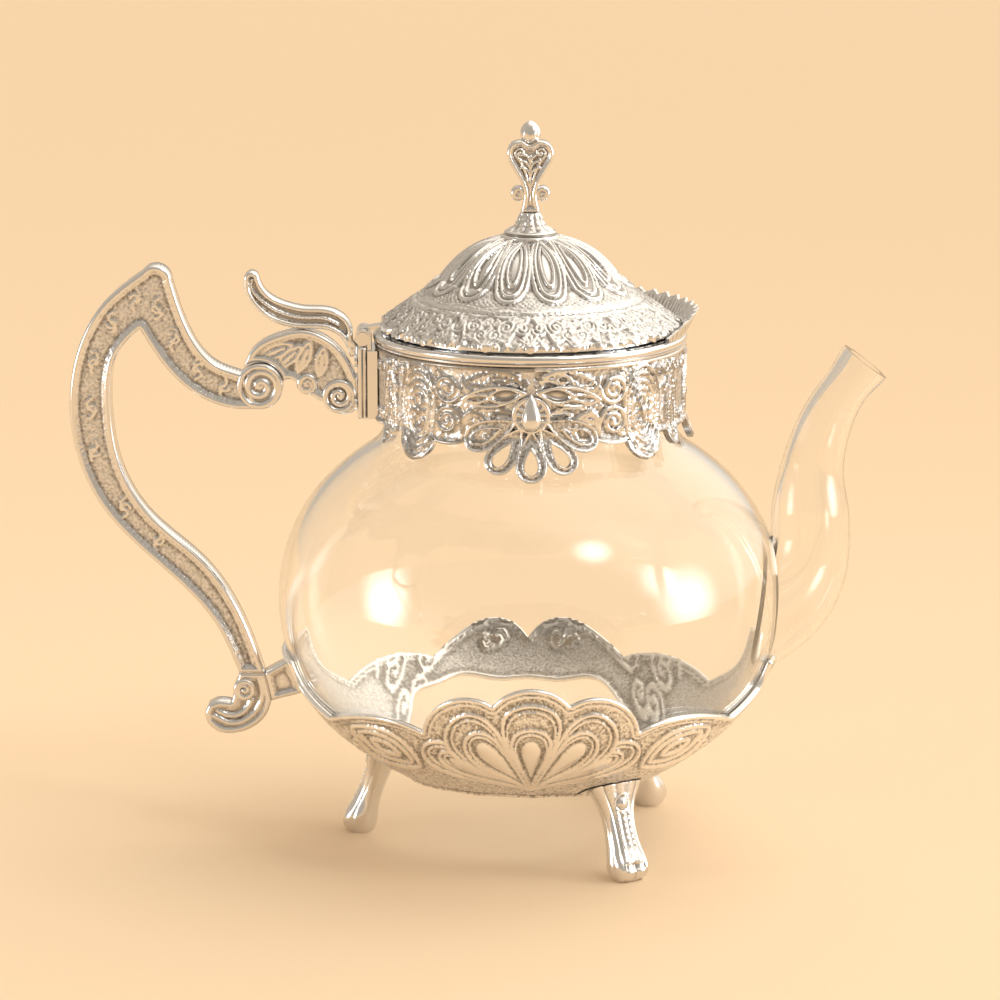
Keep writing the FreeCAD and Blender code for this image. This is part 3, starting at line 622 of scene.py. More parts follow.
def bead_rule():
    """Round beads at even steps along a line."""
    tree, nodes, given = new_rule("bead_row", {
        "Bead Spacing": "Float", "Bead Radius": "Float", "Finish": "Material"}, "Line", "Beads")
    line = nodes.add("GeometryNodeMeshToCurve", {"Mesh": given["Line"]})
    stops = nodes.add("GeometryNodeResampleCurve", {"Curve": line, "Length": given["Bead Spacing"]}, mode="LENGTH")
    bead = nodes.add("GeometryNodeMeshIcoSphere", {"Radius": given["Bead Radius"], "Subdivisions": 2})
    row = nodes.add("GeometryNodeInstanceOnPoints", {"Points": stops, "Instance": bead})
    finish_rule(nodes, row, given["Finish"])
    return tree


def screw_rule():
    """Slotted round screw heads, facing away from the pot, one at each point."""
    tree, nodes, given = new_rule("slotted_screws", {
        "Head Radius": "Float", "Head Height": "Float", "Slot Width": "Float",
        "Finish": "Material"}, "Places", "Screws")
    head = nodes.add("GeometryNodeMeshCylinder", {
        "Vertices": 40, "Radius": given["Head Radius"], "Depth": given["Head Height"]})
    bar = nodes.add("ShaderNodeCombineXYZ", {
        "X": given["Head Radius"] * 4.0, "Y": given["Slot Width"], "Z": given["Head Height"]})
    slot = nodes.add("GeometryNodeMeshCube", {"Size": bar})
    raised = nodes.add("ShaderNodeCombineXYZ", {"Z": given["Head Height"] * 0.55})
    slot = nodes.add("GeometryNodeTransform", {"Geometry": slot, "Translation": raised})
    head = nodes.add("GeometryNodeMeshBoolean", {"Mesh 1": head, "Mesh 2": slot}, operation="DIFFERENCE")
    row = nodes.add("GeometryNodeInstanceOnPoints", {
        "Points": given["Places"], "Instance": head, "Rotation": (0, math.radians(-90), 0)})
    finish_rule(nodes, row, given["Finish"])
    return tree


def petal_rule():
    """Equal copies of one sector turned about the pot's axis, joined along their edges."""
    tree, nodes, given = new_rule("petal_round", {"Petal Count": "Int", "Finish": "Material"}, "Petal", "Round")
    spots = nodes.add("GeometryNodePoints", {"Count": given["Petal Count"]})
    number = nodes.add("GeometryNodeInputIndex")
    turn = nodes.add("ShaderNodeCombineXYZ", {"Z": number * (2 * math.pi) / given["Petal Count"]})
    copies = nodes.add("GeometryNodeInstanceOnPoints", {
        "Points": spots, "Instance": given["Petal"], "Rotation": turn})
    finish_rule(nodes, copies, given["Finish"], merge=0.004)
    return tree


def grown(tree, mesh, sizes):
    """The shell a node tree makes of a mesh, in millimetres about the pot's axis, and its stipple marks."""
    obj = added(tree.name, mesh)
    rule = obj.modifiers.new(tree.name, "NODES")
    rule.node_group = tree
    for item in tree.interface.items_tree:
        if item.in_out == "INPUT" and item.name in sizes:
            rule[item.identifier] = sizes[item.name]
    made = settled(obj)
    bpy.data.objects.remove(obj)
    matte = np.zeros(len(made.vertices), np.float32)
    if "matte" in made.attributes:
        made.attributes["matte"].data.foreach_get("value", matte)
    return (read_points(made), [tuple(face.vertices) for face in made.polygons]), matte


BEADS, SCREWS, PETAL_ROUND = bead_rule(), screw_rule(), petal_rule()


def beaded(lines, spacing, radius):
    """Beads along lines."""
    points, edges = [], []
    for line in lines:
        first = len(points)
        points += [tuple(p) for p in line]
        edges += [(first + k, first + k + 1) for k in range(len(line) - 1)]
    mesh = new_mesh("bead_line", points, edges)
    return grown(BEADS, mesh, {"Bead Spacing": spacing, "Bead Radius": radius, "Finish": silver})


# The glass vessel: globe, neck and spout blown as one.

def globe_radius(z, grow):
    """Radius of the globe at a height, for a skin larger by grow."""
    rise = np.abs(np.asarray(z, float) - GLOBE_Z)
    side = SIDE_ARC + grow
    flank = SIDE_X + np.sqrt(np.maximum(side ** 2 - rise ** 2, 0))
    cap = np.sqrt(np.maximum((CAP_ARC + grow) ** 2 - (rise + CAP_SHIFT) ** 2, 0))
    return np.where(rise <= side * math.sin(JOIN), flank, cap)


def vessel_side(inset):
    """The profile of the globe from its bottom to the start of the neck."""
    neck, fillet = NECK_RADIUS - inset, NECK_FILLET + inset
    rise = math.sqrt((CAP_ARC - inset + fillet) ** 2 - (neck + fillet) ** 2)
    meet = math.atan2(rise, neck + fillet)
    cap, side = CAP_ARC - inset, SIDE_ARC - inset
    arcs = [
        (0, GLOBE_Z + CAP_SHIFT, cap, -math.pi / 2, -JOIN, 26), (SIDE_X, GLOBE_Z, side, -JOIN, JOIN, 60),
        (0, GLOBE_Z - CAP_SHIFT, cap, JOIN, meet, 10),
        (neck + fillet, GLOBE_Z - CAP_SHIFT + rise, fillet, math.pi + meet, math.pi, 16)]
    line = [(0.0, GLOBE_Z + CAP_SHIFT - cap)]
    for x, z, radius, start, stop, count in arcs:
        line += [(x + radius * math.cos(t), z + radius * math.sin(t)) for t in np.linspace(start, stop, count)[1:]]
    return line


SPOUT = np.array([
    (-15.2, -7.6, 15.5), (-5.2, -4.1, 14.2), (1.8, 0.9, 12.6), (6.1, 7.9, 11.2), (7.4, 15.4, 10.3),
    (7.3, 23.4, 9.9), (7.5, 31.4, 8.5), (9.0, 39.4, 7.5), (11.8, 47.4, 6.7), (15.8, 54.4, 6.0), (20.6, 60.9, 6.0)])
SPOUT_WALL = 1.7


def spun(profile, turns):
    """A solid from an open profile that begins and ends on the axis."""
    points = [(0, 0, profile[0][1])]
    for r, z in profile[1:-1]:
        points += [(r * math.sin(a), -r * math.cos(a), z) for a in full_turn(turns)]
    points.append((0, 0, profile[-1][1]))
    faces = []
    rows = len(profile) - 2
    for k in range(turns):
        n = (k + 1) % turns
        faces.append((0, 1 + n, 1 + k))
        for row in range(rows - 1):
            first = 1 + row * turns
            faces.append((first + k, first + n, first + turns + n, first + turns + k))
        faces.append((1 + (rows - 1) * turns + k, 1 + (rows - 1) * turns + n, len(points) - 1))
    return np.array(points, float), faces


def spout_rows():
    """Centres, directions and radii of close rings along the spout."""
    line = smooth_line(SPOUT[:, :2], 6)
    radii = smooth_line(np.column_stack([run_of(line)[::6], SPOUT[:, 2]]), 6)[:, 1]
    way = np.gradient(line, axis=0)
    way /= np.linalg.norm(way, axis=1)[:, None]
    centres = np.column_stack([GLOBE_RADIUS + line[:, 0], np.zeros(len(line)), GLOBE_Z + line[:, 1]])
    return centres, np.column_stack([way[:, 0], np.zeros(len(way)), way[:, 1]]), radii


def spout_tube(grow, flare, ahead):
    """A solid tube along the spout, larger by grow, its tip flared and carried ahead."""
    centres, ways, radii = spout_rows()
    radii = radii + grow + flare * step(np.arange(len(radii)), len(radii) - 7, len(radii) - 1)
    centres = np.vstack([centres, centres[-1] + ways[-1] * ahead])
    rows = []
    for centre, way, radius in zip(centres, np.vstack([ways, ways[-1]]), np.append(radii, radii[-1])):
        turn = full_turn(64)[:, None]
        rows.append(centre + radius * (np.cos(turn) * (-way[2], 0, way[0]) + np.sin(turn) * (0, 1, 0)))
    return stacked(rows)


def combined(base, tool, operation):
    """Cuts or joins tool into base and removes tool."""
    change = base.modifiers.new("change", "BOOLEAN")
    change.operation = operation
    change.object = tool
    change.solver = "EXACT"
    base.data = settled(base)
    bpy.data.objects.remove(tool)


def glass_vessel():
    lip = GLASS_WALL / 2
    mouth = NECK_RADIUS - GLASS_WALL
    outer = vessel_side(0) + [(NECK_RADIUS, NECK_TOP - lip)]
    outer += [
        (NECK_RADIUS - lip + lip * math.cos(t), NECK_TOP - lip + lip * math.sin(t)) for t in (0.5, 1.0, math.pi / 2)]
    outer += [(0, NECK_TOP)]
    inner = vessel_side(GLASS_WALL) + [(mouth, NECK_TOP - lip), (mouth + 0.3, NECK_TOP - 0.4)]
    inner += [(mouth + lip, NECK_TOP + 0.02), (mouth + lip, NECK_TOP + 2), (0, NECK_TOP + 2)]
    vessel = made_piece("glass_vessel", spun(outer, 144), glass)
    combined(vessel, made_piece("spout_skin", spout_tube(0, flare=0.8, ahead=0.6), glass), "UNION")
    hollow = made_piece("vessel_hollow", spun(inner, 144), glass)
    combined(hollow, made_piece("spout_hollow", spout_tube(-SPOUT_WALL, flare=0.5, ahead=3.0), glass), "UNION")
    combined(vessel, hollow, "DIFFERENCE")
    vessel.data.materials.clear()
    vessel.data.materials.append(glass)
    vessel.data.shade_smooth()
    vessel.data.set_sharp_from_angle(angle=math.radians(28))
    fitted(vessel, "pot", "glass", "glass_body", "glass_spout")


# The collar: band, rim, frill and rosettes.

def wall_skin(points, line):
    """Points of a flat pattern wrapped on the collar, and the way out from it. Sideways in the pattern is the
    way round, and line gives the radius by height."""
    line = np.asarray(line)
    radius = np.interp(points[:, 1], line[:, 1], line[:, 0])
    lean = np.interp(points[:, 1], line[:, 1], np.gradient(line[:, 0], line[:, 1]))
    angle = points[:, 0] / BAND_OUT
    out = np.column_stack([np.sin(angle), -np.cos(angle), -lean])
    out /= np.linalg.norm(out, axis=1)[:, None]
    return np.column_stack([radius * np.sin(angle), -radius * np.cos(angle), points[:, 1]]), out


SPLAY_LOW = 107.14
BAND_LINE = np.array([
    (42.2, SPLAY_LOW - 0.6), (41.9, SPLAY_LOW), (BAND_OUT, NECK_BASE + 0.6), (BAND_OUT, BAND_TOP + 1)])
BAND_LOW = 113.04
BIG_PENDANTS = (-135, -45, 45, 135, 90)
SMALL_PENDANTS = (-117, -63, 63, 117)
VOLUTES = (-31.5, 31.5, 148.5, 211.5)
HUB_Z = NECK_BASE + 7.0


def across(angle):
    """Distance round the band; the band's seam lies at the hinge."""
    return math.radians(angle + 360 if angle < -90 else angle) * BAND_OUT


def pendant_edge(angle, half, low):
    """The lower edge of one hanging lobe, from left to right."""
    x = across(angle)
    t = np.linspace(0, 1, 25)
    hang = (BAND_LOW - low) * np.sin(math.pi * t) ** 0.55
    return np.column_stack([x + half * 1.08 * (2 * t - 1), BAND_LOW - hang])


def collar_band():
    """Band with hanging lobes, chased all round, open in a seam behind the hinge."""
    lobes = [(a, 5.4, SPLAY_LOW + 0.1) for a in BIG_PENDANTS]
    lobes += [(a, 2.6, SPLAY_LOW + 2.0) for a in SMALL_PENDANTS]
    lobes += [(a, 4.2, BAND_LOW - 1.0) for a in VOLUTES]
    lobes.append((241, 3.4, BAND_LOW - 1.6))
    lobes = sorted((a + 360 if a < -90 else a, h, z) for a, h, z in lobes)
    start, stop = across(-90), across(270)
    low_edge = [(start, BAND_LOW)]
    for a, h, z in lobes:
        low_edge += list(map(tuple, pendant_edge(a, h, z)))
    low_edge.append((stop, BAND_LOW))
    low_edge = even(np.array(low_edge), 0.4)
    seam = np.linspace(BAND_LOW, BAND_TOP, 46)[1:-1]
    loop = np.vstack([
        low_edge, np.column_stack([np.full(44, stop), seam]), even([(stop, BAND_TOP), (start, BAND_TOP)], 0.5),
        np.column_stack([np.full(44, start), seam[::-1]])])
    flat, triangles, borders = filled([loop], 0.46, [0.22, 0.5])
    h, matte = collar_relief(flat, low_edge)
    spot, out = wall_skin(flat, BAND_LINE)
    back, _ = wall_skin(flat, BAND_LINE - (BAND_OUT - BAND_IN, 0))
    seam_side = (np.abs(flat[:, 0] - start) < 1e-4) | (np.abs(flat[:, 0] - stop) < 1e-4)
    h[seam_side] = -0.3
    shell = walled(spot + out * h[:, None], back, triangles, borders, lambda a, b: seam_side[a] and seam_side[b])
    silver_piece("collar_band_chased", "collar_band", shell, np.concatenate([matte, matte * 0]), weld=True)


def collar_relief(p, low_edge):
    """Height over the band and its stippled ground."""
    h = np.zeros(len(p))
    polish = np.zeros(len(p))

    def line(shape, half, height, closed=False):
        near = ridge(p, shape, half, closed)
        np.maximum(h, h * (near == 0) + height * near, out=h)
        np.maximum(polish, near, out=polish)

    def curls(half, height, *places):
        for curl in curl_pair(*places):
            line(curl, half, height)

    ground = -0.28
    rings_away = np.full(len(p), 60.0)
    line(low_edge + (0, 0.5), 0.55, 0.45)
    line([(across(-90), BAND_TOP - 0.7), (across(270), BAND_TOP - 0.7)], 0.5, 0.35)
    tall = (SPLAY_LOW + 0.8, BAND_TOP - 1.4)
    mid, half = sum(tall) / 2, (tall[1] - tall[0]) / 2
    t = full_turn(70)
    for a in BIG_PENDANTS:
        x = across(a)
        for share, height in ((1.0, 0.7), (0.84, 0.42), (0.66, 0.5), (0.5, 0.34)):
            oval = np.column_stack([
                x + 6.0 * share * np.sin(t) * (1 + 0.14 * np.cos(t)), mid + half * share * np.cos(t)])
            line(oval, 0.5, height, True)
        for k in range(6):
            line(drop((x, mid), 4.0, 1.15, 60 * k), 0.4, 0.42, True)
        line(ring(x, mid, 0.5), 0.8, 0.8, True)
        curls(0.42, 0.45, x, 6.9, BAND_TOP - 3.4, 1.8, 1.5, 90)
        curls(0.42, 0.45, x, 6.9, BAND_TOP - 17.2, 1.5, 1.5, 90)
    for a in SMALL_PENDANTS:
        x = across(a)
        for fall, length, wide, width, height in (
                (1.6, 21.5, 2.9, 0.5, 0.55), (5.0, 16.4, 1.8, 0.42, 0.42), (9.0, 11.0, 0.8, 0.5, 0.5)):
            line(drop((x, BAND_TOP - fall), length, wide, 180), width, height, True)
        curls(0.4, 0.45, x, 2.9, BAND_TOP - 3.4, 1.6, 1.5, 90)
        curls(0.36, 0.38, x, 3.6, BAND_TOP - 8.2, 1.2, 1.3, 270, -1)
    for middle in (0, across(180)):
        for side in (-1, 1):
            for rise, length, wide, angle in (
                    (9.6, 13.5, 1.9, 99), (-1.2, 13.0, 2.1, 84), (8.4, 6.0, 1.0, 66), (-3.6, 9.0, 1.5, 106)):
                root = (middle + side * 3.0, HUB_Z + rise)
                for share in (1.0, 0.55):
                    line(leaf(root, length * share, wide * share, side * angle), 0.4, 0.45, True)
    for a in VOLUTES:
        x = across(a)
        inward = 1 if math.sin(math.radians(a * 2)) > 0 else -1
        for rise, way in ((12.6, -1), (4.4, 1)):
            z = NECK_BASE + rise
            for radius, turns, width, height in ((3.9, 2.1, 0.62, 0.8), (2.9, 1.6, 0.3, 0.35)):
                line(spiral(x, z, radius, turns, 180 if inward > 0 else 0, -inward * way), width, height)
            tail = [(x - inward * out, z + way * up) for out, up in ((3.9, 0), (5.8, 2.4), (8.4, 2.2), (11.5, -0.2))]
            tail = smooth_line(tail, 8)
            line(tail, 0.5, 0.5)
            for fold in (1.0, 1.9, 2.7):
                line(tail - (0, way * fold), 0.36, 0.34)
            rings_away = np.minimum(rings_away, np.hypot(p[:, 0] - x, p[:, 1] - z))
    for a in (-74, 74, 106, 180 + 74, 0, 180):
        for rise in (14.6, 2.4):
            curls(0.36, 0.35, across(a), 1.6, NECK_BASE + rise, 1.4, 1.3, 270)
    matte = np.clip(1 - 1.6 * polish, 0, 1)
    h = np.where(polish > 0, np.maximum(h, ground), ground)
    fronds = np.abs(np.cos(math.pi * rings_away / 1.3))
    fronds = fronds * step(rings_away, 3.8, 4.6) * (1 - step(rings_away, 11.0, 13.0))
    h += matte * (chance.uniform(-0.09, 0.09, len(p)) + 0.22 * fronds)
    return h, matte * (1 - 0.7 * fronds)


def collar_rim():
    """Plain turned moulding over the neck, with a fine double line."""
    line = [(NECK_RADIUS - 0.8, RIM_TOP - 1.0), (BAND_IN, RIM_TOP - 1.0), (BAND_IN, BAND_TOP + SEAM)]
    line += [(BAND_OUT + out, BAND_TOP + up) for out, up in (
        (0.1, SEAM), (0.5, 0.25), (0.5, 0.6), (0.25, 0.75), (0.4, 0.9))]
    line += [(BAND_OUT - 0.1 + 0.9 * math.cos(t), RIM_TOP - 1.0 + math.sin(t)) for t in np.linspace(-0.7, 1.5, 12)]
    line += [(BAND_IN, RIM_TOP), (NECK_RADIUS - 0.6, RIM_TOP), (NECK_RADIUS - 0.8, RIM_TOP - 0.2)]
    silver_piece("collar_rim_moulding", "collar_rim", turned(line, full_turn(360)), crease=35)


def collar_gallery():
    """The flaring frill round the back of the rim, fluted like a shell with a crimped edge."""
    ruffles, start, stop = 24, -30.0, 138.0
    cols, rows = ruffles * 18 + 1, 15
    part = np.linspace(0, 1, cols)
    up = np.linspace(0, 1, rows)
    angle = np.radians(start + (stop - start) * part + 90)[:, None]
    taper = np.sin(math.pi * np.minimum(np.minimum(part, 1 - part), 0.15) / 0.3)[:, None]
    swing = np.cos(2 * math.pi * ruffles * part)[:, None]
    crimp = np.cos(6 * math.pi * ruffles * part)[:, None]
    sides, mattes = [], []
    for foot, face in ((BAND_OUT + 0.5, 1), (BAND_OUT - 0.2, -1)):
        flare = up ** 1.25
        flute = (0.16 * crimp + 0.1 * swing) * np.sin(math.pi * np.clip(up * 0.8 + 0.1, 0, 1)) * face
        reach = foot + flare * taper * (2.7 + 0.45 * swing) + flute
        height = RIM_TOP + SEAM + up * (1.0 + taper * (4.6 + 0.4 * swing + 0.14 * crimp))
        sides.append(np.stack([reach * np.sin(angle), -reach * np.cos(angle), height], axis=2))
        mattes.append(np.broadcast_to(0.35 * (1 - 0.6 * up), reach.shape))
    grid = np.arange(cols * rows).reshape(cols, rows)
    quads = np.stack([grid[:-1, :-1], grid[1:, :-1], grid[1:, 1:], grid[:-1, 1:]], axis=2).reshape(-1, 4)
    border = [*grid[:-1, 0], *grid[-1, :-1], *grid[:0:-1, -1], *grid[0, :0:-1]]
    front, back = [side.reshape(-1, 3) for side in sides]
    matte = np.concatenate([m.ravel() for m in mattes])
    silver_piece("collar_frill", "collar_gallery", walled(front, back, quads, [border]), matte, reach=8)


ROSETTE_LINE = [
    (44.7, NECK_BASE - 9.6), (44.54, NECK_BASE - 9.0), (BAND_OUT + SEAM + 1.3, NECK_BASE + 1.0),
    (BAND_OUT + SEAM + 1.3, NECK_BASE + 16)]


def rosette_part(loops, relief):
    """One flat ornament wrapped on the collar, 1.25 mm thick."""
    flat, triangles, borders = filled(loops, 0.34, [0.14, 0.34])
    h, matte = relief(flat)
    spot, out = wall_skin(flat, ROSETTE_LINE)
    shell = walled(spot + out * h[:, None], spot - out * 1.25, triangles, borders)
    return shell, np.concatenate([matte, matte * 0])


def rosette():
    """Five pierced loops and two leaves round a bossed hub."""
    parts = []
    for turn, tip in ((0, 16.5), (-34, 17.0), (34, 17.0), (-65, 18.0), (65, 18.0)):
        angle = 180 + turn
        way, hub = heading(angle), np.array([0, HUB_Z])
        rim = drop(hub + way * 3.4, tip - 3.4, 3.65, angle, 0.3)
        hole = drop(hub + way * 8.6, tip - 8.6 - 1.9, 1.45, angle, 0.3)

        def loop_relief(p, rim=rim, hole=hole):
            outside, inside = apart(p, rim, True), apart(p, hole, True)
            rail = np.maximum(hump(outside - 0.3, 0.36), hump(inside - 0.26, 0.32))
            h = 0.5 * rail - 0.16 - 0.25 * (np.minimum(outside, inside) < 0.05)
            return h + (rail == 0) * chance.uniform(-0.1, 0.1, len(p)), (rail == 0) * 1.0
        parts.append(rosette_part([rim, hole], loop_relief))
    for side in (-1, 1):
        blade = leaf((side * 1.0, HUB_Z + 5.6), 17.0, 2.7, side * 98)
        cup = leaf((side * 2.2, HUB_Z + 5.4), 8.4, 1.75, side * 98)
        rib = leaf((side * 9.5, HUB_Z + 4.4), 7.0, 0.9, side * 98)

        def leaf_relief(p, blade=blade, cup=cup, rib=rib):
            d, c = deep(p, blade), deep(p, cup)
            rail = np.max([hump(d - 0.4, 0.45), hump(c, 0.42), ridge(p, rib, 0.4, True)], axis=0)
            return 0.6 * rail - 0.2 - 0.6 * step(c, 0.1, 1.3), (c < 0) * (rail < 0.05) * 1.0
        parts.append(rosette_part([blade], leaf_relief))

    def hub_relief(p):
        x, y = p[:, 0], p[:, 1] - HUB_Z
        r, turn = np.hypot(x, y), np.arctan2(x, y)
        h = 0.4 * hump(r - 4.1, 0.6) + 0.25 * np.cos(12 * turn) * (r < 3.6) - 0.1
        return h, (np.abs(r - 3.0) < 0.8) * 0.5
    parts.append(rosette_part([ring(0, HUB_Z, 4.7)], hub_relief))
    profile = smooth_line([
        (0, -4.6), (1.5, -4.2), (2.5, -2.8), (2.65, -1.2), (2.2, 0.8), (1.5, 2.6), (0.8, 4.1), (0, 5.2)], 4)
    bud, faces = spun(profile, 36)
    parts.append(plain((bud + (0, -BAND_OUT - 1.5, HUB_Z + 0.4), faces)))
    return gathered(parts)


def collar_rosettes():
    (points, faces), matte = rosette()
    behind = points * (-1, -1, 1)
    shell, matte = gathered([((points, faces), matte), ((behind, faces), matte)])
    silver_piece("collar_rosettes_chased", "collar_rosettes", shell, matte, reach=4)


# The handle: flat straps standing along the pot. up and low give points out from the plate, by the rim or the strut.

def up(out, rise):
    return (-(PLATE_OUT + out), RIM_TOP + rise)


def low(out, rise):
    return (-(PLATE_OUT + out), STRUT_Z + rise)


def two_faced(loops, thickness, relief, spacing=0.42, rings=(0.12, 0.3, 0.55, 0.85)):
    """A flat plate standing along the pot, with the same relief on both faces."""
    flat, triangles, borders = filled(loops, spacing, rings)
    h, matte = relief(flat)
    depth = thickness / 2 + h
    front = np.column_stack([flat[:, 0], -depth, flat[:, 1]])
    back = np.column_stack([flat[:, 0], depth, flat[:, 1]])
    return walled(front, back, triangles, borders), np.concatenate([matte, matte])


def volute(x, z, radius, thickness, start, side, turns):
    """A round scroll end with a raised winding."""
    wind = spiral(x, z, radius - 0.75, turns, start, side, 0.12)

    def relief(p):
        r = np.hypot(p[:, 0] - x, p[:, 1] - z)
        marks = [ridge(p, wind, radius * 0.13 + 0.2), hump(r - radius + 0.7, 0.75), hump(r, radius * 0.18)]
        rail = np.max(marks, axis=0)
        return 0.75 * rail - 0.75, np.zeros(len(p))
    return two_faced([ring(x, z, radius)], thickness, relief, 0.36)


def rails(p, edge, wide, drop_in):
    """A polished rounded border with a fine inner line, and the sunk field inside it."""
    d = apart(p, edge, True)
    high = np.maximum(hump(d - wide, wide), 0.55 * hump(d - 2.15 * wide, 0.5 * wide))
    field = step(d, 2.4 * wide, 2.75 * wide)
    return drop_in * (high - 1), field


def chased(edge, lines, half, tall, wide, drop_in, rough=0.05, ground=1.0):
    """Relief of a railed panel with raised lines on its stippled field."""
    def relief(p):
        h, field = rails(p, edge, wide, drop_in)
        marks = np.zeros(len(p))
        for line in lines:
            marks = np.maximum(marks, ridge(p, line, half))
        h = h + field * tall * marks
        if rough:
            h = h + field * (marks == 0) * chance.uniform(-rough, rough, len(p))
        return h, field * (marks < 0.1) * ground
    return relief


def handle_plate():
    """Upright plate between collar and handle, with grooved edges."""
    low_z, top_z = NECK_BASE - 0.4, RIM_TOP - 3.6
    back, front, half = -PLATE_OUT, -(BAND_OUT + 2.0 + SEAM), 7.0
    side = [(back + x, y - half) for x, y in (
        (0, 0.8), (0.25, 0.25), (0.8, 0), (1.05, 0), (1.3, 0.6), (1.55, 0), (1.95, 0))]
    side += [(front - 0.3, -half + 0.15), (front, -half + 0.7)]
    plan = np.array(side + [(x, -y) for x, y in side[::-1]])
    middle = np.array([(back + front) / 2, 0])
    rows = [
        np.column_stack([middle + (plan - middle) * share, np.full(len(plan), z)])
        for z, share in ((low_z, 0.96), (low_z + 0.35, 1.0), (top_z - 0.35, 1.0), (top_z, 0.96))]
    silver_piece("handle_plate_grooved", "handle_plate", stacked(rows), reach=3, crease=25)


def plate_screws():
    """Four slotted screws through the handle plate."""
    places = [(-PLATE_OUT - 0.35 - SEAM, y, z) for y in (-4.8, 4.8) for z in (NECK_BASE + 3.2, RIM_TOP - 7.2)]
    mesh = new_mesh("screw_places", places)
    sizes = {"Head Radius": 1.6, "Head Height": 0.7, "Slot Width": 0.5, "Finish": silver}
    silver_piece("plate_screws_slotted", "plate_screws", *grown(SCREWS, mesh, sizes), crease=25)


def handle_grip():
    """The bent strap of the grip, railed, with curls down its stippled panel and a scroll at its upper end."""
    arm_top = smooth_line([up(29.3, -11.0), up(36.8, -8.0), up(43.8, 1.9), up(47.4, 12.9)])
    peak = bow(up(47.4, 12.9), up(50.4, 16.9), up(55.0, 15.4))
    back = smooth_line([
        up(55.0, 15.4), up(65.3, 6.9), up(72.6, -7.6), up(73.9, -23.6),
        low(67.0, 48.6), low(50.8, 31.2), low(37.5, 16.6), low(31.4, 3.2)])
    foot = np.array([low(31.4, 3.2), low(24.8, 3.2)])
    front = smooth_line([
        low(24.8, 3.2), low(29.6, 16.6), low(40.3, 33.3), low(54.1, 45.9),
        up(61.5, -33.6), up(63.5, -18.6), up(61.4, -5.6), up(55.7, 0.7)])
    under = smooth_line([up(55.7, 0.7), up(49.8, -8.6), up(41.8, -16.2), up(31.8, -20.0), up(25.1, -20.1)])
    close = np.array([up(25.1, -20.1), up(29.3, -11.0)])
    edge = outline([arm_top, peak, back, foot, front, under, close], 0.45)
    middle = [
        up(34.5, -14.2), up(41.0, -9.6), up(47.0, -2.0), up(51.0, 6.0), up(56.6, 8.4), up(62.8, 2.4), up(67.4, -8.0),
        up(68.7, -20.0), up(68.0, -31.0), low(60.6, 47.2), low(52.0, 38.6)]
    curls = []
    for number, (x, z) in enumerate(middle):
        side = 1 if number % 2 else -1
        curls.append(spiral(x, z, 1.5, 1.0, 40 * number, side))
        stem = ((-0.6, -2.6), (0.9 * side, -1.4), (0, 0), (-0.8 * side, 1.6), (0.3, 2.8))
        curls.append(smooth_line([(x + dx, z + dz) for dx, dz in stem], 6))
    x, z = up(25.1, -14.2)
    parts = [two_faced([edge], 7.4, chased(edge, curls, 0.42, 0.34, 0.85, 0.9)), volute(x, z, 5.9, 8.2, 250, 1, 1.8)]
    silver_piece("handle_strap", "handle_grip", *gathered(parts))


def handle_scroll():
    """The leafy bracket between plate and grip, with two scroll ends."""
    top = smooth_line([
        up(29.2, -9.0), up(27.4, -5.2), up(19.5, -0.6), up(14.5, 0.3), up(8.5, -1.4), up(3.0, -6.6), up(0.6, -11.6)])
    side = np.array([up(0.6, -11.6), up(SEAM, -11.6), up(SEAM, -20.1)])
    low_edge = bow(up(SEAM, -20.1), up(4.6, -21.6), up(9.0, -18.5))
    mid_edge = bow(up(9.0, -18.5), up(12.5, -16.4), up(15.6, -13.7))
    arch = smooth_line([up(15.6, -13.7), up(17.4, -12.5), up(19.1, -12.9)])
    shoulder = bow(up(19.15, -13.0), up(24.0, -8.15), up(29.2, -9.0))
    edge = outline([top, side, low_edge, mid_edge, arch, shoulder], 0.42)
    veins = []
    for out, rise, length, half, angle in (
            (25.6, -7.0, 9.5, 1.5, 68), (20.8, -9.6, 8.6, 1.4, 48), (15.4, -10.6, 8.6, 1.4, 22),
            (9.8, -11.6, 7.4, 1.3, 8)):
        veins += [leaf(up(out, rise), length, half, angle), leaf(up(out, rise), length * 0.75, 0.25, angle)]
    parts = [two_faced([edge], 5.6, chased(edge, veins, 0.55, 0.4, 0.85, 0.75))]
    for out, rise, radius, start, way in ((13.0, -13.7, 2.7, 60, 1), (4.8, -16.9, 4.4, 200, -1)):
        parts.append(volute(*up(out, rise), radius, 6.6, start, way, 1.7))
    silver_piece("handle_scroll_chased", "handle_scroll", *gathered(parts))


def handle_tail():
    """The fluted leaf that curls away below the grip."""
    lines = [
        np.array([low(31.4, 3.15), low(24.8, 3.15), low(23.0, -4.2)]),
        smooth_line([
            low(23.0, -4.2), low(24.3, -7.8), low(27.3, -11.0), low(32.0, -13.0), low(37.9, -12.2),
            low(40.5, -8.1), low(39.5, -5.5)]),
        smooth_line([low(39.5, -5.5), low(37.1, -4.5), low(33.6, -4.8)]),
        np.array([low(33.6, -4.8), low(31.4, 3.15)])]
    edge = outline(lines, 0.4)
    flutes = [
        smooth_line([low(26.6, 2.4), low(25.6, -3.6), low(28.6, -8.6), low(33.4, -10.4), low(38.2, -8.4)], 8),
        smooth_line([low(28.2, -4.2), low(30.2, -7.2), low(33.8, -8.4), low(37.0, -7.2)], 8)]

    def relief(p):
        h, _ = rails(p, edge, 0.9, 0.8)
        for flute in flutes:
            h = np.maximum(h, 0.75 * ridge(p, flute, 0.8) - 0.8)
        return h, np.zeros(len(p))
    parts = [two_faced([edge], 6.0, relief), volute(*low(30.1, -1.3), 2.9, 8.0, 30, -1, 1.6)]
    silver_piece("handle_tail_leaf", "handle_tail", *gathered(parts))


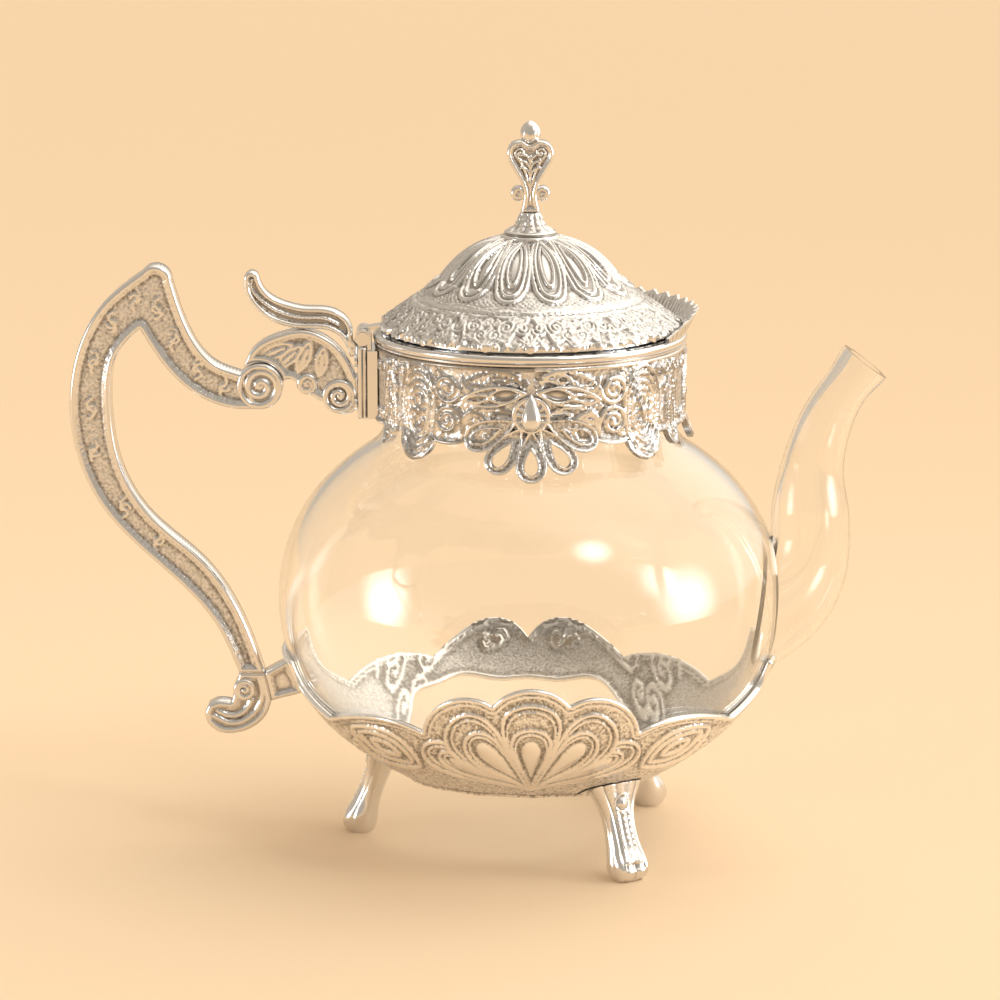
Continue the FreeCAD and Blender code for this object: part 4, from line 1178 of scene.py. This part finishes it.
def handle_strut():
    """The short panelled bar from the foot of the grip to the cradle."""
    high_tip, low_tip = [float(-globe_radius(STRUT_Z + rise, CRADLE_OUT + SEAM)) for rise in (5.2, -1.9)]
    corners = [low(24.75, 3.15), (high_tip, STRUT_Z + 6.6), (low_tip, STRUT_Z - 2.0), low(22.95, -4.2)]
    edge = outline(list(zip(corners, corners[1:] + corners[:1])), 0.4)
    relief = chased(edge, [], 0, 0, 0.7, 0.6, rough=0, ground=0.4)
    silver_piece("handle_strut_panelled", "handle_strut", *two_faced([edge], 6.6, relief))


def thumb_rest():
    """The curled lever over the handle, hollowed along its sides with a row of beads in each hollow."""
    lower = smooth_line([
        up(29.0, 13.7), up(28.9, 11.0), up(26.8, 6.6), up(23.1, 3.3), up(18.8, 1.4), up(14.2, 0.6), up(8.4, 0.4),
        up(4.4, -1.6), up(2.4, -4.8)])
    foot = np.array([up(2.4, -4.8), up(2.0, -6.6), up(SEAM, -6.6), up(SEAM, -3.6), up(1.3, -2.4), up(1.3, 0.4)])
    upper = smooth_line([
        up(1.3, 0.4), up(2.4, 2.8), up(4.8, 4.9), up(8.3, 6.0), up(13.4, 6.2), up(17.0, 6.9), up(20.9, 8.4),
        up(24.1, 11.2), up(25.1, 13.8)])
    tip = bow(up(25.1, 13.8), up(27.0, 15.4), up(29.0, 13.7))
    edge = outline([lower, foot, upper, tip], 0.36)
    middle = smooth_line([
        up(26.9, 13.2), up(27.2, 11.4), up(25.4, 8.6), up(22.0, 5.9), up(17.8, 4.1), up(13.6, 3.4), up(8.4, 3.2),
        up(5.0, 1.6)], 8)

    def relief(p):
        d = apart(p, edge, True)
        high = np.maximum(hump(d - 0.72, 0.78), 0.5 * ridge(p, middle, 0.55))
        return 1.1 * (high - 1), np.zeros(len(p))
    lines = [np.column_stack([middle[:, 0], np.full(len(middle), y), middle[:, 1]]) for y in (-1.85, 1.85)]
    parts = [two_faced([edge], 5.2, relief, 0.36), beaded(lines, 1.0, 0.4)]
    silver_piece("thumb_lever", "thumb_rest", *gathered(parts), reach=9, depth=0.16)


# The cradle: a pattern drawn flat and laid on the bowl of the globe.

CRADLE_CAP = CAP_ARC + CRADLE_OUT
CRADLE_SIDE = SIDE_ARC + CRADLE_OUT
CAP_RUN = CRADLE_CAP * (math.pi / 2 - JOIN)


def bowl_run(z):
    """Distance along the bowl from its lowest point to a height."""
    z = np.asarray(z, float)
    cap = CRADLE_CAP * np.arccos(np.clip((GLOBE_Z + CAP_SHIFT - z) / CRADLE_CAP, -1, 1))
    side = CAP_RUN + CRADLE_SIDE * (np.arcsin(np.clip((z - GLOBE_Z) / CRADLE_SIDE, -1, 1)) + JOIN)
    return np.where(cap < CAP_RUN, cap, side)


def bowl_skin(flat):
    """Points of a round flat pattern laid on the outside of the bowl, and the way out from it."""
    run = np.hypot(flat[:, 0], flat[:, 1])
    way = flat / np.maximum(run, 1e-9)[:, None]
    lean = run / CRADLE_CAP
    tilt = (run - CAP_RUN) / CRADLE_SIDE - JOIN
    cap = run < CAP_RUN
    radius = np.where(cap, CRADLE_CAP * np.sin(lean), SIDE_X + CRADLE_SIDE * np.cos(tilt))
    z = np.where(cap, GLOBE_Z + CAP_SHIFT - CRADLE_CAP * np.cos(lean), GLOBE_Z + CRADLE_SIDE * np.sin(tilt))
    out_r = np.where(cap, np.sin(lean), np.cos(tilt))
    out_z = np.where(cap, -np.cos(lean), np.sin(tilt))
    spot = np.column_stack([way[:, 0] * radius, way[:, 1] * radius, z])
    return spot, np.column_stack([way[:, 0] * out_r, way[:, 1] * out_r, out_z])


def bowl_pattern(line, face):
    """A line of (sideways, drop) seen from the front (-1) or back (1), as points of the flat pattern."""
    line = np.asarray(line, float)
    z = GLOBE_Z - line[:, 1]
    radius = globe_radius(z, CRADLE_OUT)
    x = np.clip(line[:, 0], -radius, radius)
    y = face * np.sqrt(np.maximum(radius ** 2 - x ** 2, 0))
    return np.column_stack([x, y]) / radius[:, None] * bowl_run(z)[:, None]


def spout_clear(spot):
    """Distance of points from the outside of the spout."""
    centres, _, radii = spout_rows()
    return np.min([np.linalg.norm(spot - c, axis=1) - r for c, r in zip(centres, radii)], axis=0)


def mirrored(line):
    """A line on the other side, still running the same way round."""
    return np.asarray(line)[::-1] * (-1, 1)


FRONT_SIDE = [
    bow((9.6, 13.6), (17.2, 11.8), (27.0, 22.8)), bow((27.0, 22.8), (40.0, 20.4), (51.5, 25.8)),
    smooth_line([(51.5, 25.8), (58.5, 21.0), (62.0, 13.8)]), np.array([(62.0, 13.8), (64.5, 13.8)])]
BACK_SIDE = [
    smooth_line([
        (0, 26.6), (2.6, 23.8), (6.8, 21.7), (11.2, 21.4), (16.0, 22.8), (20.5, 25.4), (24.2, 28.0), (27.0, 30.2)]),
    bow((27.0, 30.2), (38.0, 28.0), (50.4, 30.8)), smooth_line([(50.4, 30.8), (58.3, 23.6), (62.0, 13.8)]),
    np.array([(62.0, 13.8), (64.5, 13.8)])]
WINDOW = [
    (0, -36.5), (15, -32), (25, -21), (31, -4), (30, 14), (27, 28), (21, 43), (0, 48), (-21, 45), (-31, 35), (-33, 18),
    (-32, -4), (-27, -22), (-15, -33)]


def cradle_edge():
    """The scalloped upper edge, drawn back where the spout leaves the globe."""
    front = [bow((-9.6, 13.6), (0, 8.8), (9.6, 13.6))] + FRONT_SIDE
    back = [line[::-1] for line in BACK_SIDE[::-1]] + [mirrored(line)[::-1] for line in BACK_SIDE]
    left = [mirrored(line) for line in FRONT_SIDE[::-1]]
    loop = np.vstack([
        bowl_pattern(even(line, 0.45)[:-1], face)
        for lines, face in ((front, -1), (back, 1), (left, -1)) for line in lines])
    loop = even_loop(loop, 0.5)
    for _ in range(120):
        spot, _ = bowl_skin(loop)
        near = spout_clear(spot) < 0.5
        if not near.any():
            break
        loop[near] *= 1 - 0.15 / np.hypot(*loop[near].T)[:, None]
    return even_loop(loop, 0.5)


def cradle_window():
    """The wavy opening under the globe."""
    hole = smooth_line(WINDOW, 12, True)
    reach = np.hypot(*hole.T)
    wave = 1 + 0.012 * np.sin(np.arctan2(hole[:, 1], hole[:, 0]) * 17)
    run = CRADLE_CAP * np.arcsin(np.clip(reach / CRADLE_CAP, 0, 0.66))
    return even_loop(hole * (run * wave / reach)[:, None], 0.6)


# The cradle's relief is drawn as the camera sees it, from VIEW_DOWN degrees above.
VIEW_SIN, VIEW_COS = heading(VIEW_DOWN)
SUNK = 0.25

# The fan's drops: angle, then length and half width of the outer loop, the inner loop and the boss.
FAN_APEX = np.array([0.0, 15.8])
FAN = [(0, 22.0, 7.1, 15.9, 4.8, 12.9, 2.4)]
for way in (-1, 1):
    FAN += [(48 * way, 26.5, 6.0, 21.0, 3.9, 18.0, 2.1), (68 * way, 29.0, 3.7, 24.5, 2.3, 22.0, 1.5)]


def cradle_relief(spot, edge_far, window_far):
    """Height and stipple over the cradle from its nested fan in front and arched scrolls at the back."""
    seen = np.column_stack([spot[:, 0], spot[:, 2] * VIEW_COS + spot[:, 1] * VIEW_SIN])
    behind = np.column_stack([spot[:, 0], spot[:, 2] * VIEW_COS - spot[:, 1] * VIEW_SIN])
    front = spot[:, 1] < 0
    h = np.full(len(spot), -SUNK)
    polish = np.zeros(len(spot))
    taken = np.zeros(len(spot), bool)

    def raised(p, where, line, half, height, closed=False):
        near = ridge(p, line, half, closed) * where
        np.copyto(h, np.maximum(h, height * near - SUNK * (near == 0)))
        np.copyto(polish, np.maximum(polish, near))

    for angle, far, half, mid, mid_half, boss, boss_half in FAN:
        for length, wide, width, tall in (
                (far, half, 0.5, 0.5), (far - 1.5, half - 1.1, 0.32, 0.3),
                (mid, mid_half, 0.5, 0.5), (mid - 1.2, mid_half - 0.9, 0.32, 0.3)):
            raised(seen, front & ~taken, drop(FAN_APEX, length, wide, angle, sharp=2.0), width, tall, True)
        bud = drop(FAN_APEX + 1.5 * heading(angle), boss - 1.5, boss_half, angle, sharp=2.2)
        depth = np.zeros(len(spot))
        depth[front] = np.clip(deep(seen[front], bud), 0, None)
        dome = hump(np.clip(boss_half - depth, 0, None) * (depth > 0) + boss_half * (depth <= 0), boss_half)
        np.copyto(h, np.maximum(h, 0.95 * dome - SUNK))
        np.copyto(polish, np.maximum(polish, (depth > 0.05) * 1.0))
        inside = np.zeros(len(spot), bool)
        inside[front] = within(seen[front], drop(FAN_APEX, far, half, angle, sharp=2.0))
        taken |= inside
    for way in (-1, 1):
        for length, half, tall in ((20.0, 3.9, 0.5), (15.5, 2.4, 0.35), (8.0, 1.1, 0.45)):
            start = (way * (36.5 - length * 0.44), 26.4 - length * 0.24)
            raised(seen, front & ~taken, leaf(start, length, half, way * 61), 0.5, tall, True)
    for reach in (44, 50, 56):
        for curl in curl_pair(0, reach, 27.5 + (reach - 44) * 1.05, 1.7, 1.3, 90):
            raised(seen, front, curl, 0.45, 0.3)
    for x, z, radius in ((-10, 37, 8.6), (10, 37, 8.6), (-33, 31, 9.5), (33, 31, 9.5)):
        for share in (1.0, 0.72, 0.45):
            arch = round_points(x, z - 3, radius * share, np.linspace(-0.2, math.pi + 0.2, 40))
            raised(behind, ~front, arch, 0.6, 0.5)
        for apart_by, fall, size, turns, start, tall in ((0.5, 6, 0.34, 1.6, 90, 0.45), (0.2, 11, 0.26, 1.4, 0, 0.4)):
            for curl in curl_pair(x, radius * apart_by, z - fall, radius * size, turns, start):
                raised(behind, ~front, curl, 0.5, tall)
    rim = [hump(edge_far - 0.6, 0.65), 0.6 * hump(edge_far - 2.0, 0.45), hump(window_far - 0.6, 0.65)]
    rim = np.max(rim, axis=0)
    h = np.maximum(h, 0.55 * rim - SUNK)
    polish = np.maximum(polish, rim)
    matte = np.clip(1 - 1.5 * polish, 0, 1)
    h += matte * (chance.uniform(-0.1, 0.1, len(spot)) + 0.14 * crumple(spot, 1.3))
    return h, matte


def cradle():
    """The pierced, scalloped bowl, with a closer mesh under the fan in front."""
    edge, window = cradle_edge(), cradle_window()

    def close(flat):
        return (flat[:, 1] < -25) & (np.abs(flat[:, 0]) < 52)
    flat, triangles, borders = filled([edge, window], 0.8, [0.3, 0.7], (0.43, close))
    spot, out = bowl_skin(flat)
    h, matte = cradle_relief(spot, apart(flat, edge, True), apart(flat, window, True))
    under = CRADLE_IN - CRADLE_OUT + 0.5 * (1 - step(h, -SUNK, 0.35)) + 0.3 * matte * (h + SUNK)
    shell = walled(spot + out * h[:, None], spot + out * under[:, None], triangles, borders)
    # The cradle takes the lighter copy of the silver, which is painted light.
    silver_piece("cradle_chased", "cradle", shell, np.concatenate([matte, matte]), finish=cradle_silver_painted_brighter)


# The feet. Each level gives height, lean outwards, thickness and width.

FOOT_LEVELS = np.array([
    (0, 0.9, 6.8, 8.4), (1.0, 1.2, 8.6, 10.0), (2.6, 1.3, 9.6, 11.0), (4.7, 1.0, 9.4, 11.2), (6.6, 0.3, 8.4, 10.4),
    (8.8, -0.7, 7.4, 9.4), (12.3, -2.2, 6.8, 8.8), (16.4, -3.8, 7.2, 9.4), (19.4, -4.8, 8.0, 11.4),
    (22.5, -5.6, 9.0, 15.0), (25.4, -6.2, 10.0, 18.4), (32, -7.5, 10, 18)])


def foot(name, angle, node):
    """A curved leg: cleft hoof toe, fluted shin between two side rails, and a boss at the knee."""
    rise = np.linspace(0, FOOT_LEVELS[-1, 0], 100)
    size = np.column_stack([np.interp(rise, FOOT_LEVELS[:, 0], FOOT_LEVELS[:, k]) for k in (1, 2, 3)])
    for _ in range(14):
        size[1:-1] = (size[:-2] + 2 * size[1:-1] + size[2:]) / 4
    shift, thick, wide = size.T[:, :, None]
    t, level = np.meshgrid(full_turn(132), rise)
    out = np.sign(np.cos(t)) * np.abs(np.cos(t)) ** 0.9
    side = np.sign(np.sin(t)) * np.abs(np.sin(t)) ** 0.9
    face = step(np.cos(t), 0.0, 0.3)
    shin = step(level, 4.6, 7.6)
    rail = hump(np.abs(side) - 0.8, 0.16)
    flutes = np.abs(np.cos(2.5 * math.pi * side)) * (np.abs(side) < 0.6)
    boss = np.hypot(side * wide / 2, level - 19.6)
    lift = face * (0.5 * rail + shin * 0.3 * flutes - 0.3)
    lift = np.where(boss < 2.6, face * (1.0 * hump(boss, 1.7) + 0.3 * hump(boss - 2.2, 0.4) - 0.3), lift)
    toe = (1 - shin) * face * step(level, 0.2, 1.4)
    cleft = 0.4 * hump(level - 4.4, 1.0) * (np.abs(side) < 0.5)
    lift = lift + toe * (0.7 * np.abs(np.sin(math.pi * side)) - 0.25 - cleft)
    x = FOOT_RADIUS + shift + (thick / 2 - 0.2 + lift) * out
    y = (wide / 2 - 0.2 + lift * 0.4) * side
    bowl = GLOBE_Z + CAP_SHIFT - np.sqrt(np.maximum((CRADLE_CAP + SEAM) ** 2 - x ** 2 - y ** 2, 0))
    z = np.minimum(level, bowl)
    a = math.radians(angle)
    swing = np.array([(math.cos(a), math.sin(a), 0), (-math.sin(a), math.cos(a), 0), (0, 0, 1)])
    lanes = []
    for lane in (-0.4, 0.0, 0.4):
        back = (1 - math.cos(math.asin(lane))) * 3
        lanes.append(np.column_stack([x[:, 0] - back, lane * wide[:, 0] / 2 * 0.9, z[:, 0]])[28:52] @ swing)
    skin = stacked(np.stack([x, y, z], axis=2) @ swing), (shin * face * (rail == 0) * 0.5).reshape(-1)
    silver_piece(name, node, *gathered([skin, beaded(lanes, 1.5, 0.42)]), crease=50, reach=8)


# The lid: dome, brim and finial.

PETALS = 14
BRIM_SHELLS = 10


def local(radius, angle, count, shift=0.5):
    """Sideways distance from the middle of the nearest of count equal parts round the lid."""
    part = angle * count / (2 * math.pi) - shift
    return (part - np.round(part)) * radius * 2 * math.pi / count


def lid_dome():
    """Dome of long looped petals over a stippled foot. One petal's sector is made and turned all round."""
    steps = [(7.6, 15.0), (15.3, 11.93), (21.2, 6.6), (25.5, 1.95), (DOME_RADIUS, 0.0)]
    curve = smooth_line([(r, BRIM_TOP + SEAM + z) for r, z in steps], 16)
    over = np.vstack([[(1.4, curve[0][1]), (4.5, curve[0][1])], even(curve, 0.34)])
    under = even(np.vstack([curve[0] - (0, 0.95), curve[:-4] - (0.5, 0.9)]), 1.2)[::-1]
    under = under[under[:, 1] > BRIM_TOP + 0.3]
    loop = np.vstack([over, [(28.0, BRIM_TOP + SEAM)], under, [(1.4, curve[0][1] - 0.95)]])
    count = len(over)
    marks = []

    def relief(r, z, a):
        shape = r.shape
        r, w, a = [v.ravel() for v in (r, local(r, a, PETALS), a)]
        p = np.column_stack([r, w])
        outer = deep(p, drop((6.6, 0), 19.2, 4.1, 90, sharp=1.3))
        inner_loop = deep(p, drop((8.2, 0), 15.9, 2.9, 90, sharp=1.3))
        slot = deep(p, drop((11.0, 0), 10.8, 1.5, 90))
        rail = np.max([hump(outer, 0.55), 0.85 * hump(inner_loop, 0.45), 0.9 * hump(slot, 0.42)], axis=0)
        beads = (outer > 0.5) * (inner_loop < -0.3)
        h = 0.7 * rail + 0.3 * step(outer, 0, 0.6) - 0.75 * step(slot, 0.1, 0.8)
        h += beads * 0.12 * np.sin(r * 5.2) * np.sin(w * 6.0)
        low_zone = step(r, 24.6, 25.6)
        h += 0.8 * hump(r - 25.8, 3.0)
        scallop = r - 28.3 - 0.4 * np.cos(a * PETALS)
        line = np.maximum(hump(scallop, 0.42), 0.6 * hump(scallop + 1.0, 0.3))
        h = np.maximum(h, 0.5 * line)
        fine = np.clip(1 - 1.6 * np.max([rail, line, step(slot, -0.2, 0.2)], axis=0), 0, 1)
        ribs = hump(np.abs(w) - 0.22 * r + 0.4, 0.35) * (r < 14) * (outer < 0)
        h = h + 0.25 * ribs + low_zone * fine * 0.1
        ground = fine * (0.35 + 0.65 * np.maximum(low_zone, outer < 0))
        pricks = low_zone * 0.16 * np.cos(r * 4.6) * np.cos(w * 4.2)
        h = h + ground * (chance.uniform(-0.06, 0.06, len(h)) + pricks)
        h, ground = h.reshape(shape), ground.reshape(shape)
        h[:, count:] = 0
        h[:, :2] = 0
        ground[:, count:] = 0
        h[-1], ground[-1] = h[0], ground[0]
        marks.append(ground)
        return h
    points, faces = turned(loop, np.linspace(0, 2 * math.pi / PETALS, 41), relief, False)
    petal = new_mesh("dome_petal", points.tolist(), [], faces)
    marked(petal, "matte", marks[0].ravel())
    shell, matte = grown(PETAL_ROUND, petal, {"Petal Count": PETALS, "Finish": silver})
    silver_piece("lid_dome_petalled", "lid_dome", shell, matte, body="lid")


def lid_brim():
    """Sloping skirt of shells and curls with a crimped edge, notched for the hinge."""
    top = even([(DOME_RADIUS, BRIM_TOP), (BRIM_RADIUS, BRIM_TOP - 6.6)], 0.36)
    over = np.vstack([even([(26.8, BRIM_TOP), (DOME_RADIUS, BRIM_TOP)], 0.6)[:-1], top])
    under = even([(BRIM_RADIUS, BRIM_TOP - 7.5), (DOME_RADIUS, BRIM_TOP - 0.9)], 0.9)
    loop = np.vstack([over, under, [(26.8, BRIM_TOP - 0.9)]])
    count = len(over)
    shell_curls = [
        (spiral(4.3, 33.0, 2.1, 1.8, 150, 1), 0.42, 0.62), (spiral(1.7, 35.4, 1.7, 1.6, 60, -1), 0.4, 0.6),
        (spiral(1.3, 32.0, 1.1, 1.3, 250, 1), 0.34, 0.5), (spiral(5.2, 36.4, 1.2, 1.4, 90, -1), 0.36, 0.52)]
    between_curls = [
        (spiral(2.2, 33.2, 2.0, 1.7, 180, -1), 0.42, 0.55), (spiral(1.6, 36.3, 1.3, 1.4, 0, 1), 0.36, 0.5),
        (smooth_line([(0.2, 30.6), (1.8, 30.6), (4.6, 32.2)], 8), 0.4, 0.45),
        (leaf((0.3, 34.6), 4.0, 0.9, 20), 0.36, 0.45)]
    marks = []

    def relief(r, z, a):
        shape = r.shape
        r, z, a = [v.ravel() for v in (r, z, a)]
        w, out = local(r, a, BRIM_SHELLS), r - (DOME_RADIUS + 0.4)
        fan_r, fan_a = np.hypot(w, out), np.arctan2(w, out)
        shell_zone = step(8.6 + 0.5 * np.cos(fan_a * 9) - fan_r, 0, 0.6)
        h = shell_zone * (0.12 + 0.24 * np.abs(np.cos(fan_a * 4.5)) * step(fan_r, 0.5, 2.5))
        h = np.maximum(h, 0.6 * hump(fan_r - 8.4 - 0.5 * np.cos(fan_a * 9), 0.5))
        for lines, shift in ((shell_curls, 0.5), (between_curls, 0.0)):
            beside = np.column_stack([np.abs(local(r, a, BRIM_SHELLS, shift)), r])
            for line, half, tall in lines:
                h = np.maximum(h, tall * ridge(beside, line, half))
        fold = crumple(np.column_stack([r * np.sin(a), r * np.cos(a), z]), 1.3, 3.0)
        h = h + 0.3 * (0.35 - np.abs(fold) ** 0.7)
        h = np.maximum(h, 0.55 * hump(r - 30.0 - 0.35 * np.cos(a * 28), 0.4))
        edge = step(r, 36.8, BRIM_RADIUS)
        h = h + edge * (0.25 * np.cos(a * 80) + 0.15 * np.cos(a * 27 + 1))
        inner = step(r, DOME_RADIUS, 29.8)
        h = h * inner
        ground = (np.clip(0.75 - h, 0, 1) * inner * 0.8).reshape(shape)
        h = h.reshape(shape)
        h[:, count:] = 0
        ground[:, count:] = 0
        marks.append(ground)
        return h
    points, faces = turned(loop, full_turn(720), relief)
    r = np.hypot(points[:, 0], points[:, 1])
    a = np.arctan2(points[:, 0], -points[:, 1])
    grow = step(r, 33.0, BRIM_RADIUS) * np.cos(40 * (a - math.pi / 2)) * 0.4
    tooth = step(r, 35.8, BRIM_RADIUS) * (0.42 * np.cos(66 * a + 0.6) + 0.2 * np.cos(23 * a))
    brim_limit, notch_half, notch_reach = 38.68, 3.2, 36.75
    reach = np.minimum(r + grow + tooth, brim_limit)
    notch = (points[:, 0] < 0) & (np.abs(points[:, 1]) < notch_half)
    reach = np.where(notch, np.minimum(reach, notch_reach / np.maximum(-np.sin(a), 0.5)), reach)
    points[:, 0], points[:, 1] = reach * np.sin(a), -reach * np.cos(a)
    points[:, 2] -= 0.6 * grow + 0.55 * tooth
    silver_piece("lid_brim_chased", "lid_brim", (points, faces), marks[0].ravel(), body="lid")


def finial_base():
    """Cone of overlapping leaves on a round moulding."""
    line = [(1.3, BASE_Z), (7.2, BASE_Z)]
    line += [(7.05 + 0.6 * math.cos(t), BASE_Z + 0.6 + 0.6 * math.sin(t)) for t in np.linspace(-1.4, 1.4, 9)]
    line += [(6.6, BASE_Z + 1.35), (6.5, BASE_Z + 1.6), (6.75, BASE_Z + 1.85), (6.5, BASE_Z + 2.15)]
    cone = smooth_line([(6.3, BASE_Z + 2.2), (4.6, BASE_Z + 3.0), (3.2, BASE_Z + 5.0), (2.6, FINIAL_Z)], 10)
    line += [*even(cone, 0.22), (1.3, FINIAL_Z)]

    def relief(r, z, a):
        zone = step(z, BASE_Z + 2.2, BASE_Z + 2.6) * (1 - step(z, FINIAL_Z - 0.5, FINIAL_Z - 0.1))
        row = (z - BASE_Z - 2.2) / 1.5
        scale = np.abs(np.cos(a * 5 + math.pi * np.floor(row))) * (1 - 0.6 * (row - np.floor(row)))
        return zone * (0.55 * scale - 0.2)
    shell = turned(line, full_turn(160), relief)
    matte = np.clip((shell[0][:, 2] - BASE_Z - 2.2) * 2, 0, 0.35)
    silver_piece("finial_base_leafy", "finial_base", shell, matte, body="lid", crease=40, reach=8)


def finial():
    """Heart-shaped plate with two scroll ends at its stem and a bud on top."""
    def tall(x, rise):
        return (x, FINIAL_Z + SEAM + rise)
    right = np.vstack([
        smooth_line([tall(2.5, 0), tall(2.0, 2.0), tall(1.7, 5.0), tall(2.4, 7.6)])[:-1],
        smooth_line([tall(2.4, 7.6), tall(4.4, 11.0), tall(6.0, 15.4), tall(4.6, 17.8), tall(1.8, 18.4)])[:-1]])
    dip = smooth_line([tall(1.8, 18.4), tall(0.0, 17.4), tall(-1.8, 18.4)])
    edge = outline([right, dip, (right * (-1, 1))[::-1], np.array([tall(-2.5, 0), tall(2.5, 0)])], 0.3)
    lines = []
    for way in (-1, 1):
        lines.append(smooth_line([tall(0.4 * way, 7.0), tall(1.6 * way, 11.0), tall(3.6 * way, 14.6)], 8))
        for rise in (9.5, 11.2, 12.9):
            vein = [tall(0.1 * way, rise), tall(1.0 * way, rise + 1.6), tall(2.4 * way, rise + 1.9)]
            lines.append(smooth_line(vein, 6))
    lines += [*curl_pair(0, 2.6, tall(0, 15.2)[1], 1.5, 1.5, 270), np.array([tall(0, 2.0), tall(0, 14.5)])]
    relief = chased(edge, lines, 0.36, 0.6, 0.62, 0.75, rough=0, ground=0.7)
    parts = [two_faced([edge], 4.6, relief, 0.26, (0.1, 0.25, 0.45))]
    for way in (-1, 1):
        parts.append(volute(*tall(3.1 * way, 4.8), 1.9, 3.6, 90 + 90 * way, -way, 1.5))
    low_end, high_end = 17.2, 23.4
    profile = smooth_line([(0, low_end), (1.5, 17.6), (2.55, 19.4), (2.5, 20.6), (1.5, 22.6), (0, high_end)], 6)
    bud, faces = spun(profile, 48)
    turn = np.arctan2(bud[:, 0], bud[:, 1])
    rise = (bud[:, 2] - low_end) / (high_end - low_end)
    swell = 1 + 0.1 * np.abs(np.cos(turn * 3 + 2.2 * rise)) * np.sin(math.pi * np.clip(rise, 0, 1)) - 0.06
    bud = bud * np.column_stack([swell, swell, np.ones(len(bud))]) + (0, 0, FINIAL_Z + SEAM)
    parts.append(plain((bud, faces)))
    silver_piece("finial_heart", "finial", *gathered(parts), body="lid", reach=4, depth=0.1)


glass_vessel()
for make in (
        collar_band, collar_rim, collar_gallery, collar_rosettes, handle_plate, plate_screws, handle_grip,
        handle_scroll, handle_tail, handle_strut, thumb_rest, cradle):
    make()
for name, angle, node in (
        ("foot_front_leg", -57.0, "foot_front"), ("foot_back_leg", 45.0, "foot_back"),
        ("foot_left_leg", 171.0, "foot_left")):
    foot(name, angle, node)
for make in (lid_dome, lid_brim, finial_base, finial):
    make()

# Pieces that show their solids as they are.
plain_nodes = dict.fromkeys(("hinge_plate", "hinge_pin", "lid_bezel", "lid_leaf", "finial_screw"), silver)
plain_nodes["neck_sleeve"] = sleeve
for node, finish in plain_nodes.items():
    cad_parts[node].data.materials.clear()
    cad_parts[node].data.materials.append(finish)


# The studio: peach paper, a soft room with one bright side, three lamps and the camera.

def paper_floor():
    finish, nodes = new_finish("peach_paper")
    bump = nodes.add("ShaderNodeBump", {"Strength": 0.12, "Distance": 0.0004, "Height": nodes.cloud(900.0, 2.0)})
    skin = nodes.add("ShaderNodeBsdfPrincipled", {
        "Base Color": (0.92, 0.71, 0.49, 1), "Roughness": 0.9, "Specular IOR Level": 0.1, "Normal": bump})
    nodes.add("ShaderNodeOutputMaterial", {"Surface": skin})
    mesh = new_mesh("paper_floor", [(-9, -9, 0), (9, -9, 0), (9, 9, 0), (-9, 9, 0)], [], [(0, 1, 2, 3)])
    mesh.materials.append(finish)
    floor = added("paper_floor", mesh)


def soft_range(nodes, value, low, high, start=0.0, stop=1.0, kind="SMOOTHSTEP"):
    """A soft change from start to stop as value goes from low to high."""
    return nodes.add("ShaderNodeMapRange", {
        "Value": value, "From Min": low, "From Max": high, "To Min": start, "To Max": stop}, interpolation_type=kind)


def studio_room():
    world = bpy.data.worlds.new("studio_room")
    bpy.context.scene.world = world
    world.use_nodes = True
    world.node_tree.nodes.clear()
    nodes = Nodes(world.node_tree)
    way = nodes.add("ShaderNodeTexCoord", output="Generated")
    ahead = nodes.add("ShaderNodeSeparateXYZ", {0: way}, output="Y")
    room = nodes.mix(soft_range(nodes, ahead, -0.9, 0.3), (0.52, 0.46, 0.38, 1), (0.60, 0.52, 0.42, 1))
    towards = nodes.add("ShaderNodeVectorMath", {0: way, 1: (0.60, 0.33, 0.73)}, "Value", operation="DOT_PRODUCT")
    lit = nodes.mix(soft_range(nodes, towards, 0.36, 0.97), room, (1.75, 1.62, 1.42, 1))
    sky = nodes.add("ShaderNodeBackground", {"Color": lit, "Strength": 1.0})
    nodes.add("ShaderNodeOutputWorld", {"Surface": sky})


LAMP_AIM = (0, 0, 0.07)


def lamp(name, spot, size, tall, power):
    """A round softbox, aimed at the pot, that fades towards its edge."""
    light = bpy.data.lights.new(name, "AREA")
    light.shape = "ELLIPSE"
    light.size, light.size_y = size, tall
    light.energy = power
    light.color = (0.94, 0.97, 1.0)
    light.spread = math.radians(80)
    light.use_nodes = True
    light.node_tree.nodes.clear()
    nodes = Nodes(light.node_tree)
    at = nodes.add("ShaderNodeNewGeometry", output="Parametric")
    off = nodes.add("ShaderNodeVectorMath", {0: at, 1: (0.5, 0.5, 0.0)}, "Value", operation="DISTANCE")
    fade = soft_range(nodes, off, 0.03, 0.5, 1.0, 0.0, "SMOOTHERSTEP")
    glow = nodes.add("ShaderNodeEmission", {"Color": (1, 1, 1, 1), "Strength": fade})
    nodes.add("ShaderNodeOutputLight", {"Surface": glow})
    obj = added(name, light)
    obj.location = spot
    obj.rotation_euler = (Vector(LAMP_AIM) - Vector(spot)).to_track_quat("-Z", "Y").to_euler()
    obj.visible_camera = False


def photo_camera():
    lens = bpy.data.cameras.new("photo_camera")
    lens.lens = 152.3
    lens.sensor_width = 36.0
    camera = added("photo_camera", lens)
    camera.location = (0.0060, -1.0706, 0.3182)
    camera.rotation_euler = (math.radians(90 - VIEW_DOWN), 0, 0)
    bpy.context.scene.camera = camera
    bpy.context.scene.view_settings.view_transform = "Standard"


paper_floor()
studio_room()
lamp("right_glow", (1.17, -0.28, 0.24), 1.0, 1.05, 3.9)
lamp("left_glow", (-1.12, -0.46, 0.16), 0.72, 0.85, 2.2)
lamp("high_glow", (0.52, -0.62, 1.0), 0.5, 0.5, 0.85)
photo_camera()
